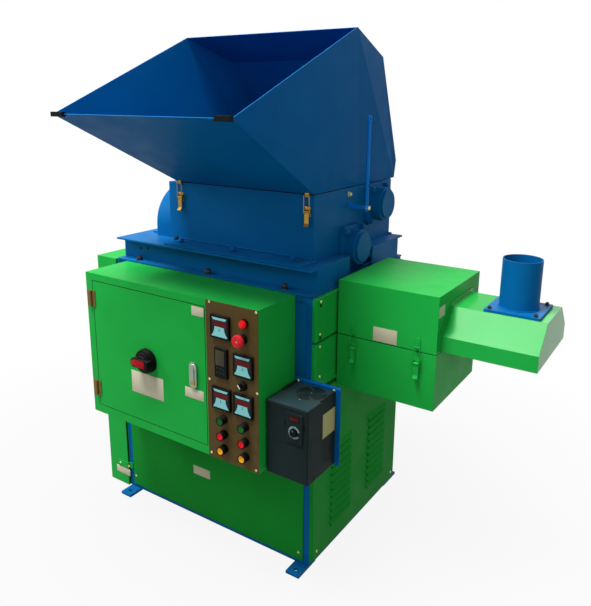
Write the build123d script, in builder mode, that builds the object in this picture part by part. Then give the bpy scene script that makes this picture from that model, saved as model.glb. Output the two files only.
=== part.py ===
# Hot melt densifier: shredder, screw frame, heated die box and control cabinet.
# Units are millimetres, +Z is up, +X runs right along the front, -Y faces the front.
# The origin is the centre of the four floor bolts at floor level.

import os
from math import atan2, cos, radians, sin

from build123d import *

os.makedirs("parts", exist_ok=True)

# Fits shared by several pieces
SHEET = 3
PIN_FIT = 0.1
RUN_GAP = 0.5
EASE = 1

# Sides of small turned forms, knuckles and pins
TURNED_SIDES = 16
KNUCKLE_SIDES = 12

# Main frame
FRAME_W = 860
FRAME_D = 636
FRAME_TOP = 964
POST = 50
POST_WALL = 4
RAIL_H = 40
RAIL_WALL = 3
PANEL_MARGIN = 24

# Floor feet
FOOT_T = 10
FOOT_W = 52
FOOT_REACH = 57
FOOT_HOLE_R = 7
FOOT_HOLE_IN = 24
FOOT_SIDE_IN = 30

# Folded trays on the right, measured from the die box split and the floor
TRAY_OUT = 14
TRAY_WALL = 2
TRAY_GAP = 6
TRAY_SPLIT_GAP = 2
TRAY_LOW_GAP = 18
TRAY_MID_H = 147
TRAY_LOW = 35
LOUVRE_ROWS = 11
LOUVRE_PITCH = 28
LOUVRE_W = 150
LOUVRE_H = 17
LOUVRE_OUT = 8
LOUVRE_TAPER = 7
LOUVRE_LIP = 2.5
LOUVRE_WALL = 1.5
LOUVRE_LOW = 80
LOUVRE_SPREAD = 270

# Drive guard on the left
GUARD_W = 105
GUARD_PROUD = 9
GUARD_TAB_REACH = 51
GUARD_TAB_IN = 18
GUARD_TAB_H = 25
GUARD_TAB_Z = 87

# Electrical cabinet
CAB_W = 746
CAB_H = 522
CAB_D = 190
CAB_IN = 53
CAB_DROP = 1
DOOR_W = 512
DOOR_H = 467
DOOR_IN = 31
DOOR_UP = 30
DOOR_GAP = 2.5
DOOR_T = 2
DOOR_LIP = 18
HINGE_H = 56
HINGE_R = 5
HINGE_PIN_R = 2
HINGE_LEAF_W = 20
HINGE_LEAF_T = 2.5
HINGE_END = 66
HINGE_MID_H = 20

# Control plate and the instruments on it
PLATE_W = 197
PLATE_EDGE = 1
PLATE_T = 2
METER_SIZE = 72
METER_DEPTH = 9
METER_SPOTS = ((60, 445), (145, 340), (60, 213), (144, 213))
METER_FACE = 60
METER_FACE_DEEP = 1.5
CONTROLLER_SPOT = (62, 331)
CONTROLLER_W = 48
CONTROLLER_H = 96
BUTTON_COLUMNS = (65, 148)
BUTTON_ROWS = (145, 94, 44)
BUTTON_HEAD_R = 11
BUTTON_HEAD_H = 11
BUTTON_COLLAR_R = 14.5
BUTTON_COLLAR_H = 19
BUTTON_WELL = 10
BUTTON_STROKE = 3.5
LAMP_SPOT = (149, 473)
LAMP_R = 12
LAMP_H = 13
LAMP_FACE_R = 9
STOP_SPOT = (143, 424)
STOP_HEAD_R = 20
STOP_HEAD_H = 13
STOP_FACE_R = 17
STOP_STEM_R = 11
STOP_COLLAR_R = 16
STOP_COLLAR_H = 14
STOP_STROKE = 5
SELECTOR_SPOT = (143, 276)
SELECTOR_R = 12
SELECTOR_DRUM_H = 8
SELECTOR_BAR = (6, 21)
SELECTOR_BAR_H = 8
BEZEL_H = 5

# Isolator and latch on the door, from the door's lower left corner
ISOLATOR_SPOT = (255, 231)
ISOLATOR_SIZE = 84
ISOLATOR_H = 12
ISOLATOR_CORNER = 22
ISOLATOR_EDGE = 3
ISOLATOR_HUB_R = 32
ISOLATOR_HUB_H = 14
ISOLATOR_GRIP = (78, 32)
ISOLATOR_GRIP_UP = 6
ISOLATOR_GRIP_H = 22
GRIP_DRAFT = 2
LATCH_SPOT = (461, 232)
LATCH_W = 30
LATCH_H = 88
LATCH_T = 7
LATCH_GRIP = (14, 56)
LATCH_GRIP_UP = 7
LATCH_GRIP_H = 3.5
LATCH_DRAFT = 1.2

# Inverter beside the cabinet
INV_GAP = 6
INV_W = 148
INV_H = 240
INV_D = 158
INV_DROP = 1
BRACKET_T = 5
BRACKET_RIM = 6
BRACKET_RIM_TOP = 16
BRACKET_RIM_SIDE = 16
KEYPAD_W = 56
KEYPAD_H = 96
KEYPAD_T = 4
KEYPAD_SPOT = (103, 176)
DIAL_R = 12
DIAL_H = 9
DIAL_DROP = 12

# Pedestal between frame and shredder
PED_IN_LEFT = 8
PED_IN_RIGHT = 3
PED_PROUD_FRONT = 7
PED_PROUD_BACK = 12
PED_H = 77
FLANGE_T = 6
WEB_INSET = 38
PED_RING_SIDE = 45
PED_RING_END = 75
NOTCH_CLEAR = 11

# Shredder housing
HOUSE_W = 574
HOUSE_D = 549
HOUSE_H = 212
HOUSE_IN = 56
HOUSE_BACK = 91
HOUSE_T = 8
HOUSE_LIP = 89
HOUSE_LIP_SHIFT = 10
HOUSE_LIP_BACK = 6

# Gear guard
GEAR_BOX_W = 60
GEAR_BOX_IN = 20
GEAR_BOX_DROP = 4
GEAR_T = 4
ARCH_R = 140
ARCH_W = 70
ARCH_UP = 43
ARCH_FOOT_OUT = 50
ARCH_FOOT_IN = 28

# Bearings and rotors, from the housing's front wall and the deck
BEARING_SPOTS = ((227, 14), (406, 139))
BEARING_SIZE = 144
BEARING_T = 16
BEARING_CORNER = 18
CAP_R = 60
CAP_OUT = 46
CAP_STEP = 10
CAP_SIDES = 36
SHAFT_R = 34
SHAFT_SIDES = 6
CUTTER_R = 64
CUTTER_T = 16
CUTTER_PITCH = 62
CUTTER_TEETH = 6
CUTTER_HOOK = 10

# Hopper corner stations as (y, z, extra half width) from the base's front edge
SEAM = 3
HOP_T = 3
HOP_OVERHANG = 24
HOP_LIP = (-459, 238, 50)
HOP_TOP = (139, 498, 60)
HOP_EAVE = (369, 425, 36)
HOP_KNEE_UP = 65
HOP_KNEE_SPREAD = 6
HOP_CREASE = 297
TRIM_T = 4
TRIM_RUN = 50
HOP_HINGE_SPREAD = 360

# Hinges at the rear of the hopper and of the die box
REAR_HINGE_R = 7
REAR_PIN_R = 3
REAR_HINGE_OUT = 7.5
REAR_KNUCKLE = 16
REAR_MID = 20
REAR_LEAF_T = 4
REAR_LEAF_H = 30

# Stay rod beside the hopper
ROD_OUT = 68
ROD_BACK = 221
ROD_R = 6
ROD_UP = 139
ROD_L = 302
ROD_STUD_R = 8
ROD_STUD_UP = 12
ROD_EYE_R = 11
ROD_EYE_HOLE_R = 5
ROD_EYE_T = 8

# Heated die box
HEAT_SPLIT = 817
HEAT_W = 333
HEAT_D = 360
HEAT_H = 359
HEAT_OUT = 22
HEAT_BACK = 120
HEAT_GAP = 3
HEAT_T = 3
HEAT_HINGE_IN = 67
NECK_FLANGE = 140
NECK_R = 45
NECK_IN = 64
DIE_MOUTH_W = 180
DIE_MOUTH_H = 44

# Die hood and vent pipe
HOOD_L = 277
HOOD_HALF = 166
HOOD_MID = 191
HOOD_TOP_HALF = 90
HOOD_LOW = 5
HOOD_SIDE_H = 49
HOOD_H = 123
HOOD_RIM = 12
HOOD_RIM_T = 3
VENT_R = 57
VENT_T = 3
VENT_H = 147
VENT_PLATE = 160
VENT_PLATE_T = 8
VENT_RIGHT_IN = 103
VENT_SHIFT = 8

# Toggle latches
TOGGLE_W = 22
TOGGLE_PLATE_T = 2
TOGGLE_PLATE_UP = 20
TOGGLE_PLATE_DOWN = 16
TOGGLE_EAR_T = 2
TOGGLE_PIN_R = 2.5
TOGGLE_PIN_OUT = 7.5
TOGGLE_BARREL_R = 4.5
LEVER_T = 2
LEVER_L = 48
LEVER_FLICK = 7
LOOP_W = 11
LOOP_BAR = 3
LOOP_RISE = 45
LOOP_FOOT = 9
STRIKE_W = 14
STRIKE_T = 7
STRIKE_GAP = 2
STRIKE_STANDOFF = 1
LID_STRIKE_H = 32
HOP_TOGGLE_IN = (18, 22)
HEAT_TOGGLE_IN = (59, 58)
HOP_LOOP_DROP = 10
HEAT_LOOP_UP = 9

# Derived planes of the frame
HALF_W = FRAME_W / 2
LEFT_X = -HALF_W
RIGHT_X = HALF_W
FRONT_Y = -FRAME_D / 2
BACK_Y = FRAME_D / 2
PANEL_TOP = FRAME_TOP - PANEL_MARGIN
SKIN_Y = FRONT_Y - SHEET

# Derived places of the cabinet and its door
CAB_X0 = LEFT_X + CAB_IN
CAB_X1 = CAB_X0 + CAB_W
CAB_Z1 = FRAME_TOP - CAB_DROP
CAB_Z0 = CAB_Z1 - CAB_H
CAB_BACK = SKIN_Y
CAB_FRONT = CAB_BACK - CAB_D
DOOR_X0 = CAB_X0 + DOOR_IN
DOOR_X1 = DOOR_X0 + DOOR_W
DOOR_Z0 = CAB_Z0 + DOOR_UP
DOOR_Z1 = DOOR_Z0 + DOOR_H
HINGE_X = DOOR_X0 - HINGE_R - DOOR_GAP
HINGE_Y = CAB_FRONT - HINGE_R - RUN_GAP
HINGE_Z = (DOOR_Z0 + HINGE_END, DOOR_Z1 - HINGE_END)
PLATE_X1 = CAB_X1 - PLATE_EDGE
PLATE_X0 = PLATE_X1 - PLATE_W
PLATE_Z0 = CAB_Z0 + PLATE_EDGE
PLATE_Z1 = CAB_Z1 - PLATE_EDGE
PLATE_FRONT = CAB_FRONT - PLATE_T

# Derived places of the inverter
INV_X0 = CAB_X1 + INV_GAP
INV_X1 = INV_X0 + INV_W
INV_Z0 = CAB_Z0 - INV_DROP
INV_Z1 = INV_Z0 + INV_H
INV_BACK = SKIN_Y - BRACKET_T
INV_FRONT = INV_BACK - INV_D

# Derived places of the pedestal, housing and hopper
PED_X0 = LEFT_X + PED_IN_LEFT
PED_X1 = RIGHT_X - PED_IN_RIGHT
PED_Y0 = FRONT_Y - PED_PROUD_FRONT
PED_Y1 = BACK_Y + PED_PROUD_BACK
PED_TOP = FRAME_TOP + PED_H
DECK_Z = PED_TOP + FLANGE_T
HOUSE_X1 = RIGHT_X - HOUSE_IN
HOUSE_X0 = HOUSE_X1 - HOUSE_W
HOUSE_Y0 = FRONT_Y + HOUSE_BACK
HOUSE_Y1 = HOUSE_Y0 + HOUSE_D
HOUSE_TOP = DECK_Z + HOUSE_H
HOP_X = (HOUSE_X0 + HOUSE_X1) / 2
HOP_HALF = HOUSE_W / 2
HOP_Z = HOUSE_TOP + SEAM
HOP_BACK = HOUSE_Y1 + HOP_OVERHANG
HOP_CREASE_Y = HOUSE_Y0 + HOP_CREASE
HOP_HINGE_Y = HOP_BACK + REAR_HINGE_OUT
HOP_HINGE_Z = HOUSE_TOP + SEAM / 2
BEARING_AT = [(HOUSE_Y0 + back, DECK_Z + up) for back, up in BEARING_SPOTS]
NOTCH_Y0 = BEARING_AT[0][0] - BEARING_SIZE / 2 - NOTCH_CLEAR
NOTCH_Y1 = BEARING_AT[0][0] + BEARING_SIZE / 2 + NOTCH_CLEAR
NOTCH_Z = BEARING_AT[0][1] - BEARING_SIZE / 2 - NOTCH_CLEAR
ROD_X = HOUSE_X1 + ROD_OUT
ROD_Y = HOUSE_Y0 + ROD_BACK
ROD_Z = DECK_Z + ROD_UP

# Derived places of the die box and hood
HEAT_X0 = RIGHT_X + HEAT_OUT
HEAT_X1 = HEAT_X0 + HEAT_W
HEAT_Y0 = FRONT_Y + HEAT_BACK
HEAT_Y1 = HEAT_Y0 + HEAT_D
HEAT_Z0 = HEAT_SPLIT - HEAT_H / 2
HEAT_Z1 = HEAT_SPLIT + HEAT_H / 2
HEAT_HINGE_Y = HEAT_Y1 + REAR_HINGE_OUT
BASE_TOP = HEAT_SPLIT - HEAT_GAP / 2
LID_LOW = HEAT_SPLIT + HEAT_GAP / 2
NECK_Y = (HEAT_Y0 + HEAT_Y1) / 2
NECK_Z = BASE_TOP - HEAT_GAP - NECK_FLANGE / 2
HOOD_Y = HEAT_Y0 + HOOD_MID
HOOD_X0 = HEAT_X1 + HOOD_RIM_T
HOOD_X1 = HOOD_X0 + HOOD_L
HOOD_Z0 = HEAT_SPLIT + HOOD_LOW
HOOD_TOP = HOOD_Z0 + HOOD_H
VENT_X = HOOD_X1 - VENT_RIGHT_IN
VENT_Y = HOOD_Y - VENT_SHIFT

# Derived places of the trays: lowest and highest edge of each
TRAY_Y0 = FRONT_Y
TRAY_Y1 = BACK_Y - TRAY_GAP
TRAY_FACE = RIGHT_X + TRAY_OUT
MID_TOP = HEAT_SPLIT - TRAY_GAP
MID_LOW = MID_TOP - TRAY_MID_H
TRAYS = ((HEAT_SPLIT + TRAY_SPLIT_GAP, FRAME_TOP - TRAY_GAP), (MID_LOW, MID_TOP))
LOUVRE_TRAY = (TRAY_LOW, MID_LOW - TRAY_LOW_GAP)

# Toggle columns: name, columns, wall face and height of the loop's top bar
HOP_COLUMNS = (HOUSE_X0 + HOP_TOGGLE_IN[0], HOUSE_X1 - HOP_TOGGLE_IN[1])
HEAT_COLUMNS = (HEAT_X0 + HEAT_TOGGLE_IN[0], HEAT_X1 - HEAT_TOGGLE_IN[1])
TOGGLE_SETS = (
    ("hopper", HOP_COLUMNS, HOUSE_Y0, HOP_Z - HOP_LOOP_DROP),
    ("die_box", HEAT_COLUMNS, HEAT_Y0, HEAT_SPLIT + HEAT_LOOP_UP),
)


def brick(x0, x1, y0, y1, z0, z1):
    """Return a plain block between two opposite corners."""
    with BuildPart() as block:
        with Locations(((x0 + x1) / 2, (y0 + y1) / 2, (z0 + z1) / 2)):
            Box(x1 - x0, y1 - y0, z1 - z0)
    return block.part


def rod_along_x(x0, x1, y, z, radius):
    """Return a round bar lying along X."""
    with BuildPart() as bar:
        with BuildSketch(Plane.YZ.offset(x0)):
            with Locations((y, z)):
                Circle(radius)
        extrude(amount=x1 - x0)
    return bar.part


def post_along_z(x, y, z0, z1, radius):
    """Return a round bar standing along Z."""
    with BuildPart() as bar:
        with BuildSketch(Plane.XY.offset(z0)):
            with Locations((x, y)):
                Circle(radius)
        extrude(amount=z1 - z0)
    return bar.part


def bar_along_x(x0, x1, y, z, radius, sides):
    """Return a many sided bar lying along X."""
    with BuildPart() as bar:
        with BuildSketch(Plane.YZ.offset(x0)):
            with Locations((y, z)):
                RegularPolygon(radius, sides)
        extrude(amount=x1 - x0)
    return bar.part


def outward(x0, x1, z0, z1, y_face, amount):
    """Return a block standing out of a front face by an amount."""
    return brick(x0, x1, y_face - amount, y_face, z0, z1)


def tapered(low, high):
    """Return a solid with flat sides between two matching outlines."""
    skins = [Face(Wire.make_polygon(low, close=True)), Face(Wire.make_polygon(high, close=True))]
    for index in range(len(low)):
        after = (index + 1) % len(low)
        corners = [low[index], low[after], high[after], high[index]]
        skins.append(Face(Wire.make_polygon(corners, close=True)))
    return Solid(Shell(skins))


def box_outline(x, y, z, width, height):
    """Return the corners of an upright rectangle that faces the operator."""
    corners = []
    for side, rise in ((-1, -1), (1, -1), (1, 1), (-1, 1)):
        corners.append((x + side * width / 2, y, z + rise * height / 2))
    return corners


def turned_outline(x, y, z, radius):
    """Return the corners of an upright turned outline that faces the operator."""
    step = radians(360 / TURNED_SIDES)
    corners = []
    for index in range(TURNED_SIDES):
        corners.append((x + radius * cos(step * index), y, z + radius * sin(step * index)))
    return corners


def finish(part, name):
    """Label one sub-part and write its STEP file."""
    part.label = name
    export_step(part, "parts/" + name + ".step")


# Corner posts
with BuildPart() as frame_posts:
    with BuildSketch(Plane.XY.offset(FOOT_T)):
        with GridLocations(FRAME_W - POST, FRAME_D - POST, 2, 2):
            Rectangle(POST, POST)
            Rectangle(POST - 2 * POST_WALL, POST - 2 * POST_WALL, mode=Mode.SUBTRACT)
    extrude(amount=FRAME_TOP - FOOT_T)
finish(frame_posts.part, "frame_posts")

# Bottom and top rails between the posts
RAIL_LEVELS = (FOOT_T + RAIL_H / 2, FRAME_TOP - RAIL_H / 2)
RAIL_HOLE = RAIL_H - 2 * RAIL_WALL
with BuildPart() as frame_rails:
    for level in RAIL_LEVELS:
        with BuildSketch(Plane.YZ.offset(LEFT_X + POST)):
            with Locations((FRONT_Y + RAIL_H / 2, level), (BACK_Y - RAIL_H / 2, level)):
                Rectangle(RAIL_H, RAIL_H)
                Rectangle(RAIL_HOLE, RAIL_HOLE, mode=Mode.SUBTRACT)
        extrude(amount=FRAME_W - 2 * POST)
        with BuildSketch(Plane.XZ.offset(FRONT_Y + POST)):
            with Locations((LEFT_X + RAIL_H / 2, level), (RIGHT_X - RAIL_H / 2, level)):
                Rectangle(RAIL_H, RAIL_H)
                Rectangle(RAIL_HOLE, RAIL_HOLE, mode=Mode.SUBTRACT)
        extrude(amount=FRAME_D - 2 * POST)
finish(frame_rails.part, "frame_rails")

# Floor feet with one anchor hole each
with BuildPart() as floor_feet:
    with BuildSketch():
        foot_mid = BACK_Y - POST + (FOOT_REACH + POST) / 2
        with GridLocations(FRAME_W - 2 * FOOT_SIDE_IN, 2 * foot_mid, 2, 2):
            Rectangle(FOOT_W, FOOT_REACH + POST)
        with GridLocations(FRAME_W - 2 * FOOT_SIDE_IN, FRAME_D + 2 * (FOOT_REACH - FOOT_HOLE_IN), 2, 2):
            Circle(FOOT_HOLE_R, mode=Mode.SUBTRACT)
    extrude(amount=FOOT_T)
finish(floor_feet.part, "floor_feet")

# Front and rear sheets
with BuildPart() as front_panel:
    panel_x1 = RIGHT_X - PANEL_MARGIN
    add(brick(-panel_x1, panel_x1, SKIN_Y, FRONT_Y, PANEL_MARGIN, PANEL_TOP))
finish(front_panel.part, "front_panel")

with BuildPart() as rear_panel:
    panel_x1 = RIGHT_X - PANEL_MARGIN
    add(brick(-panel_x1, panel_x1, BACK_Y, BACK_Y + SHEET, PANEL_MARGIN, PANEL_TOP))
finish(rear_panel.part, "rear_panel")

# Left sheet behind the drive guard
with BuildPart() as left_panel:
    add(brick(LEFT_X - SHEET, LEFT_X, FRONT_Y, BACK_Y, PANEL_MARGIN, FRAME_TOP))
finish(left_panel.part, "left_panel")


def tray_pan(low, high):
    """Return a folded pan, open towards the frame, with eased front edges."""
    with BuildPart() as pan:
        add(brick(RIGHT_X, TRAY_FACE, TRAY_Y0, TRAY_Y1, low, high))
        pan_back = pan.faces().sort_by(Axis.X)[0]
        offset(amount=-TRAY_WALL, openings=pan_back)
        chamfer(pan.faces().sort_by(Axis.X)[-1].edges(), TRAY_WALL)
    return pan.part


# Folded upper trays on the right, the lower one passing the die box neck
with BuildPart() as right_trays:
    for low, high in TRAYS:
        add(tray_pan(low, high))
    add(rod_along_x(RIGHT_X, TRAY_FACE, NECK_Y, NECK_Z, NECK_R + RUN_GAP), mode=Mode.SUBTRACT)
finish(right_trays.part, "right_trays")


def louvre_form(out, low, high, half, lip):
    """Return one tapered scoop that grows out of the tray face."""
    root = []
    mouth = []
    for side, rise in ((-1, 0), (1, 0), (1, 1), (-1, 1)):
        root.append((TRAY_FACE, side * half, low + rise * (high - low)))
        mouth.append((TRAY_FACE + out, side * (half - LOUVRE_TAPER), low + rise * lip))
    return tapered(root, mouth)


# Louvred tray: two columns of pressed scoops, each open along its lower edge
louvre_z0 = LOUVRE_TRAY[0] + LOUVRE_LOW
louvre_rows = [louvre_z0 + LOUVRE_PITCH * row for row in range(LOUVRE_ROWS)]
louvre_mid = (TRAY_Y0 + TRAY_Y1) / 2
louvre_spots = []
for column in (-1, 1):
    for row_z in louvre_rows:
        louvre_spots.append((0, louvre_mid + column * LOUVRE_SPREAD / 2, row_z))
with BuildPart() as louvre_tray:
    add(tray_pan(LOUVRE_TRAY[0], LOUVRE_TRAY[1]))
    scoop = louvre_form(LOUVRE_OUT, 0, LOUVRE_H, LOUVRE_W / 2, LOUVRE_LIP)
    hollow_top = LOUVRE_H - 2 * LOUVRE_WALL
    hollow_half = LOUVRE_W / 2 - LOUVRE_WALL
    hollow = louvre_form(LOUVRE_OUT - LOUVRE_WALL, -LOUVRE_WALL, hollow_top, hollow_half, LOUVRE_LIP)
    slot = brick(
        TRAY_FACE - TRAY_WALL, TRAY_FACE, -hollow_half, hollow_half, -LOUVRE_WALL, hollow_top
    )
    with Locations(*louvre_spots):
        add(scoop)
        add(hollow, mode=Mode.SUBTRACT)
        add(slot, mode=Mode.SUBTRACT)
finish(louvre_tray.part, "louvre_tray")

# Drive guard box, open towards the frame
GUARD_X0 = LEFT_X - SHEET - GUARD_W
GUARD_Y0 = FRONT_Y - GUARD_PROUD
with BuildPart() as drive_guard:
    add(brick(GUARD_X0, LEFT_X - SHEET, GUARD_Y0, BACK_Y, FOOT_T, FRAME_TOP))
    guard_open = drive_guard.faces().sort_by(Axis.X)[-1]
    offset(amount=-SHEET, openings=guard_open)
    chamfer(drive_guard.faces().sort_by(Axis.X)[0].edges(), SHEET)
finish(drive_guard.part, "drive_guard")

# Joggled tab that ties the guard's front to the corner post
with BuildPart() as guard_tab:
    with BuildSketch(Plane.XY.offset(GUARD_TAB_Z)):
        with BuildLine():
            Polyline(
                (LEFT_X - SHEET - GUARD_TAB_REACH, GUARD_Y0),
                (LEFT_X - SHEET - GUARD_TAB_REACH, GUARD_Y0 - SHEET),
                (LEFT_X - SHEET, GUARD_Y0 - SHEET),
                (LEFT_X + SHEET, FRONT_Y - SHEET),
                (LEFT_X + GUARD_TAB_IN, FRONT_Y - SHEET),
                (LEFT_X + GUARD_TAB_IN, FRONT_Y),
                (LEFT_X, FRONT_Y),
                (LEFT_X - SHEET, GUARD_Y0),
                close=True,
            )
        make_face()
    extrude(amount=GUARD_TAB_H)
finish(guard_tab.part, "guard_tab")

# Electrical cabinet shell with the door opening
with BuildPart() as cabinet:
    add(brick(CAB_X0, CAB_X1, CAB_FRONT, CAB_BACK, CAB_Z0, CAB_Z1))
    inside = brick(
        CAB_X0 + SHEET, CAB_X1 - SHEET, CAB_FRONT + SHEET, CAB_BACK - SHEET, CAB_Z0 + SHEET, CAB_Z1 - SHEET
    )
    add(inside, mode=Mode.SUBTRACT)
    add(brick(DOOR_X0, DOOR_X1, CAB_FRONT, CAB_FRONT + SHEET, DOOR_Z0, DOOR_Z1), mode=Mode.SUBTRACT)
finish(cabinet.part, "cabinet")

# Cabinet door, a shallow pan set flush in its opening
with BuildPart() as cabinet_door:
    add(brick(
        DOOR_X0 + DOOR_GAP,
        DOOR_X1 - DOOR_GAP,
        CAB_FRONT,
        CAB_FRONT + DOOR_LIP,
        DOOR_Z0 + DOOR_GAP,
        DOOR_Z1 - DOOR_GAP,
    ))
    door_back = cabinet_door.faces().sort_by(Axis.Y)[-1]
    offset(amount=-DOOR_T, openings=door_back)
finish(cabinet_door.part, "cabinet_door")


def hinge_barrel(height, half):
    """Return a standing knuckle of the door hinges."""
    with BuildPart() as barrel:
        with BuildSketch(Plane.XY.offset(height - half)):
            with Locations((HINGE_X, HINGE_Y)):
                RegularPolygon(HINGE_R, KNUCKLE_SIDES)
        extrude(amount=2 * half)
    return barrel.part


def hinge_leaf(side, height):
    """Return one leaf, cut back beside the knuckle that turns past it."""
    reach = side * HINGE_LEAF_W
    inner = side * (HINGE_R + RUN_GAP * 2)
    near, far = sorted((HINGE_X + inner, HINGE_X + reach))
    y0 = CAB_FRONT - HINGE_LEAF_T
    return brick(near, far, y0, CAB_FRONT, height - HINGE_H / 2, height + HINGE_H / 2)


def hinge_arm(side, low, high):
    """Return the strip that joins a leaf to its knuckle."""
    near, far = sorted((HINGE_X, HINGE_X + side * HINGE_LEAF_W))
    return brick(near, far, CAB_FRONT - HINGE_LEAF_T, CAB_FRONT, low, high)


# Fixed hinge halves: leaf, end knuckles and pin
END_H = (HINGE_H - HINGE_MID_H) / 2 - RUN_GAP
with BuildPart() as door_hinges:
    for height in HINGE_Z:
        add(hinge_leaf(-1, height))
        for end in (-1, 1):
            middle = height + end * (HINGE_H - END_H) / 2
            add(hinge_arm(-1, middle - END_H / 2, middle + END_H / 2))
            add(hinge_barrel(middle, END_H / 2))
        with BuildSketch(Plane.XY.offset(height - HINGE_H / 2)):
            with Locations((HINGE_X, HINGE_Y)):
                RegularPolygon(HINGE_PIN_R, KNUCKLE_SIDES)
        extrude(amount=HINGE_H)
finish(door_hinges.part, "door_hinges")

# Moving hinge halves on the door: leaf and bored middle knuckle
with BuildPart() as hinge_leaves:
    for height in HINGE_Z:
        add(hinge_leaf(1, height))
        add(hinge_arm(1, height - HINGE_MID_H / 2, height + HINGE_MID_H / 2))
        add(hinge_barrel(height, HINGE_MID_H / 2))
        bore = post_along_z(
            HINGE_X, HINGE_Y, height - HINGE_MID_H / 2, height + HINGE_MID_H / 2, HINGE_PIN_R + PIN_FIT
        )
        add(bore, mode=Mode.SUBTRACT)
finish(hinge_leaves.part, "hinge_leaves")

# Isolator escutcheon on the door
ISOLATOR_X = DOOR_X0 + ISOLATOR_SPOT[0]
ISOLATOR_Z = DOOR_Z0 + ISOLATOR_SPOT[1]
with BuildPart() as isolator_base:
    with BuildSketch(Plane.XZ.offset(-CAB_FRONT)):
        with Locations((ISOLATOR_X, ISOLATOR_Z)):
            Rectangle(ISOLATOR_SIZE, ISOLATOR_SIZE)
    extrude(amount=ISOLATOR_H)
    chamfer(isolator_base.edges().filter_by(Axis.Y), ISOLATOR_CORNER)
    chamfer(isolator_base.faces().sort_by(Axis.Y)[0].edges(), ISOLATOR_EDGE)
finish(isolator_base.part, "isolator_base")

# Isolator handle: round hub with a tapered grip across it
HANDLE_Y = CAB_FRONT - ISOLATOR_H - RUN_GAP
with BuildPart() as isolator_handle:
    with BuildSketch(Plane.XZ.offset(-HANDLE_Y)):
        with Locations((ISOLATOR_X, ISOLATOR_Z)):
            Circle(ISOLATOR_HUB_R)
    extrude(amount=ISOLATOR_HUB_H)
    grip_y = HANDLE_Y - ISOLATOR_GRIP_UP
    grip_w, grip_h = ISOLATOR_GRIP
    add(tapered(
        box_outline(ISOLATOR_X, grip_y, ISOLATOR_Z, grip_w, grip_h),
        box_outline(
            ISOLATOR_X,
            grip_y - ISOLATOR_GRIP_H,
            ISOLATOR_Z,
            grip_w - 2 * GRIP_DRAFT,
            grip_h - 2 * GRIP_DRAFT,
        ),
    ))
finish(isolator_handle.part, "isolator_handle")

# Paddle latch with its raised grip
LATCH_X = DOOR_X0 + LATCH_SPOT[0]
LATCH_Z = DOOR_Z0 + LATCH_SPOT[1]
with BuildPart() as door_latch:
    with BuildSketch(Plane.XZ.offset(-CAB_FRONT)):
        with Locations((LATCH_X, LATCH_Z)):
            SlotOverall(LATCH_H, LATCH_W, rotation=90)
    extrude(amount=LATCH_T)
    grip_y = CAB_FRONT - LATCH_T
    grip_z = LATCH_Z + LATCH_GRIP_UP
    grip_w, grip_h = LATCH_GRIP
    add(tapered(
        box_outline(LATCH_X, grip_y, grip_z, grip_w, grip_h),
        box_outline(
            LATCH_X, grip_y - LATCH_GRIP_H, grip_z, grip_w - 2 * LATCH_DRAFT, grip_h - 2 * LATCH_DRAFT
        ),
    ))
finish(door_latch.part, "door_latch")

# Control plate over the cabinet's right half
with BuildPart() as control_plate:
    add(outward(PLATE_X0, PLATE_X1, PLATE_Z0, PLATE_Z1, CAB_FRONT, PLATE_T))
finish(control_plate.part, "control_plate")


def on_plate(spot):
    """Return a point on the control plate from its lower left corner."""
    return (PLATE_X0 + spot[0], PLATE_Z0 + spot[1])


# Panel meters with a sunk window
with BuildPart() as panel_meters:
    with BuildSketch(Plane.XZ.offset(-PLATE_FRONT)):
        with Locations(*[on_plate(spot) for spot in METER_SPOTS]):
            Rectangle(METER_SIZE, METER_SIZE)
    extrude(amount=METER_DEPTH)
    chamfer(panel_meters.faces().group_by(Axis.Y)[0].edges(), METER_FACE_DEEP)
    with BuildSketch(Plane.XZ.offset(-PLATE_FRONT + METER_DEPTH)):
        with Locations(*[on_plate(spot) for spot in METER_SPOTS]):
            Rectangle(METER_FACE, METER_FACE)
    extrude(amount=-METER_FACE_DEEP, mode=Mode.SUBTRACT)
finish(panel_meters.part, "panel_meters")

# Temperature controller
with BuildPart() as temperature_controller:
    with BuildSketch(Plane.XZ.offset(-PLATE_FRONT)):
        with Locations(on_plate(CONTROLLER_SPOT)):
            Rectangle(CONTROLLER_W, CONTROLLER_H)
    extrude(amount=METER_DEPTH)
    chamfer(temperature_controller.faces().sort_by(Axis.Y)[0].edges(), METER_FACE_DEEP)
finish(temperature_controller.part, "temperature_controller")

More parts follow.
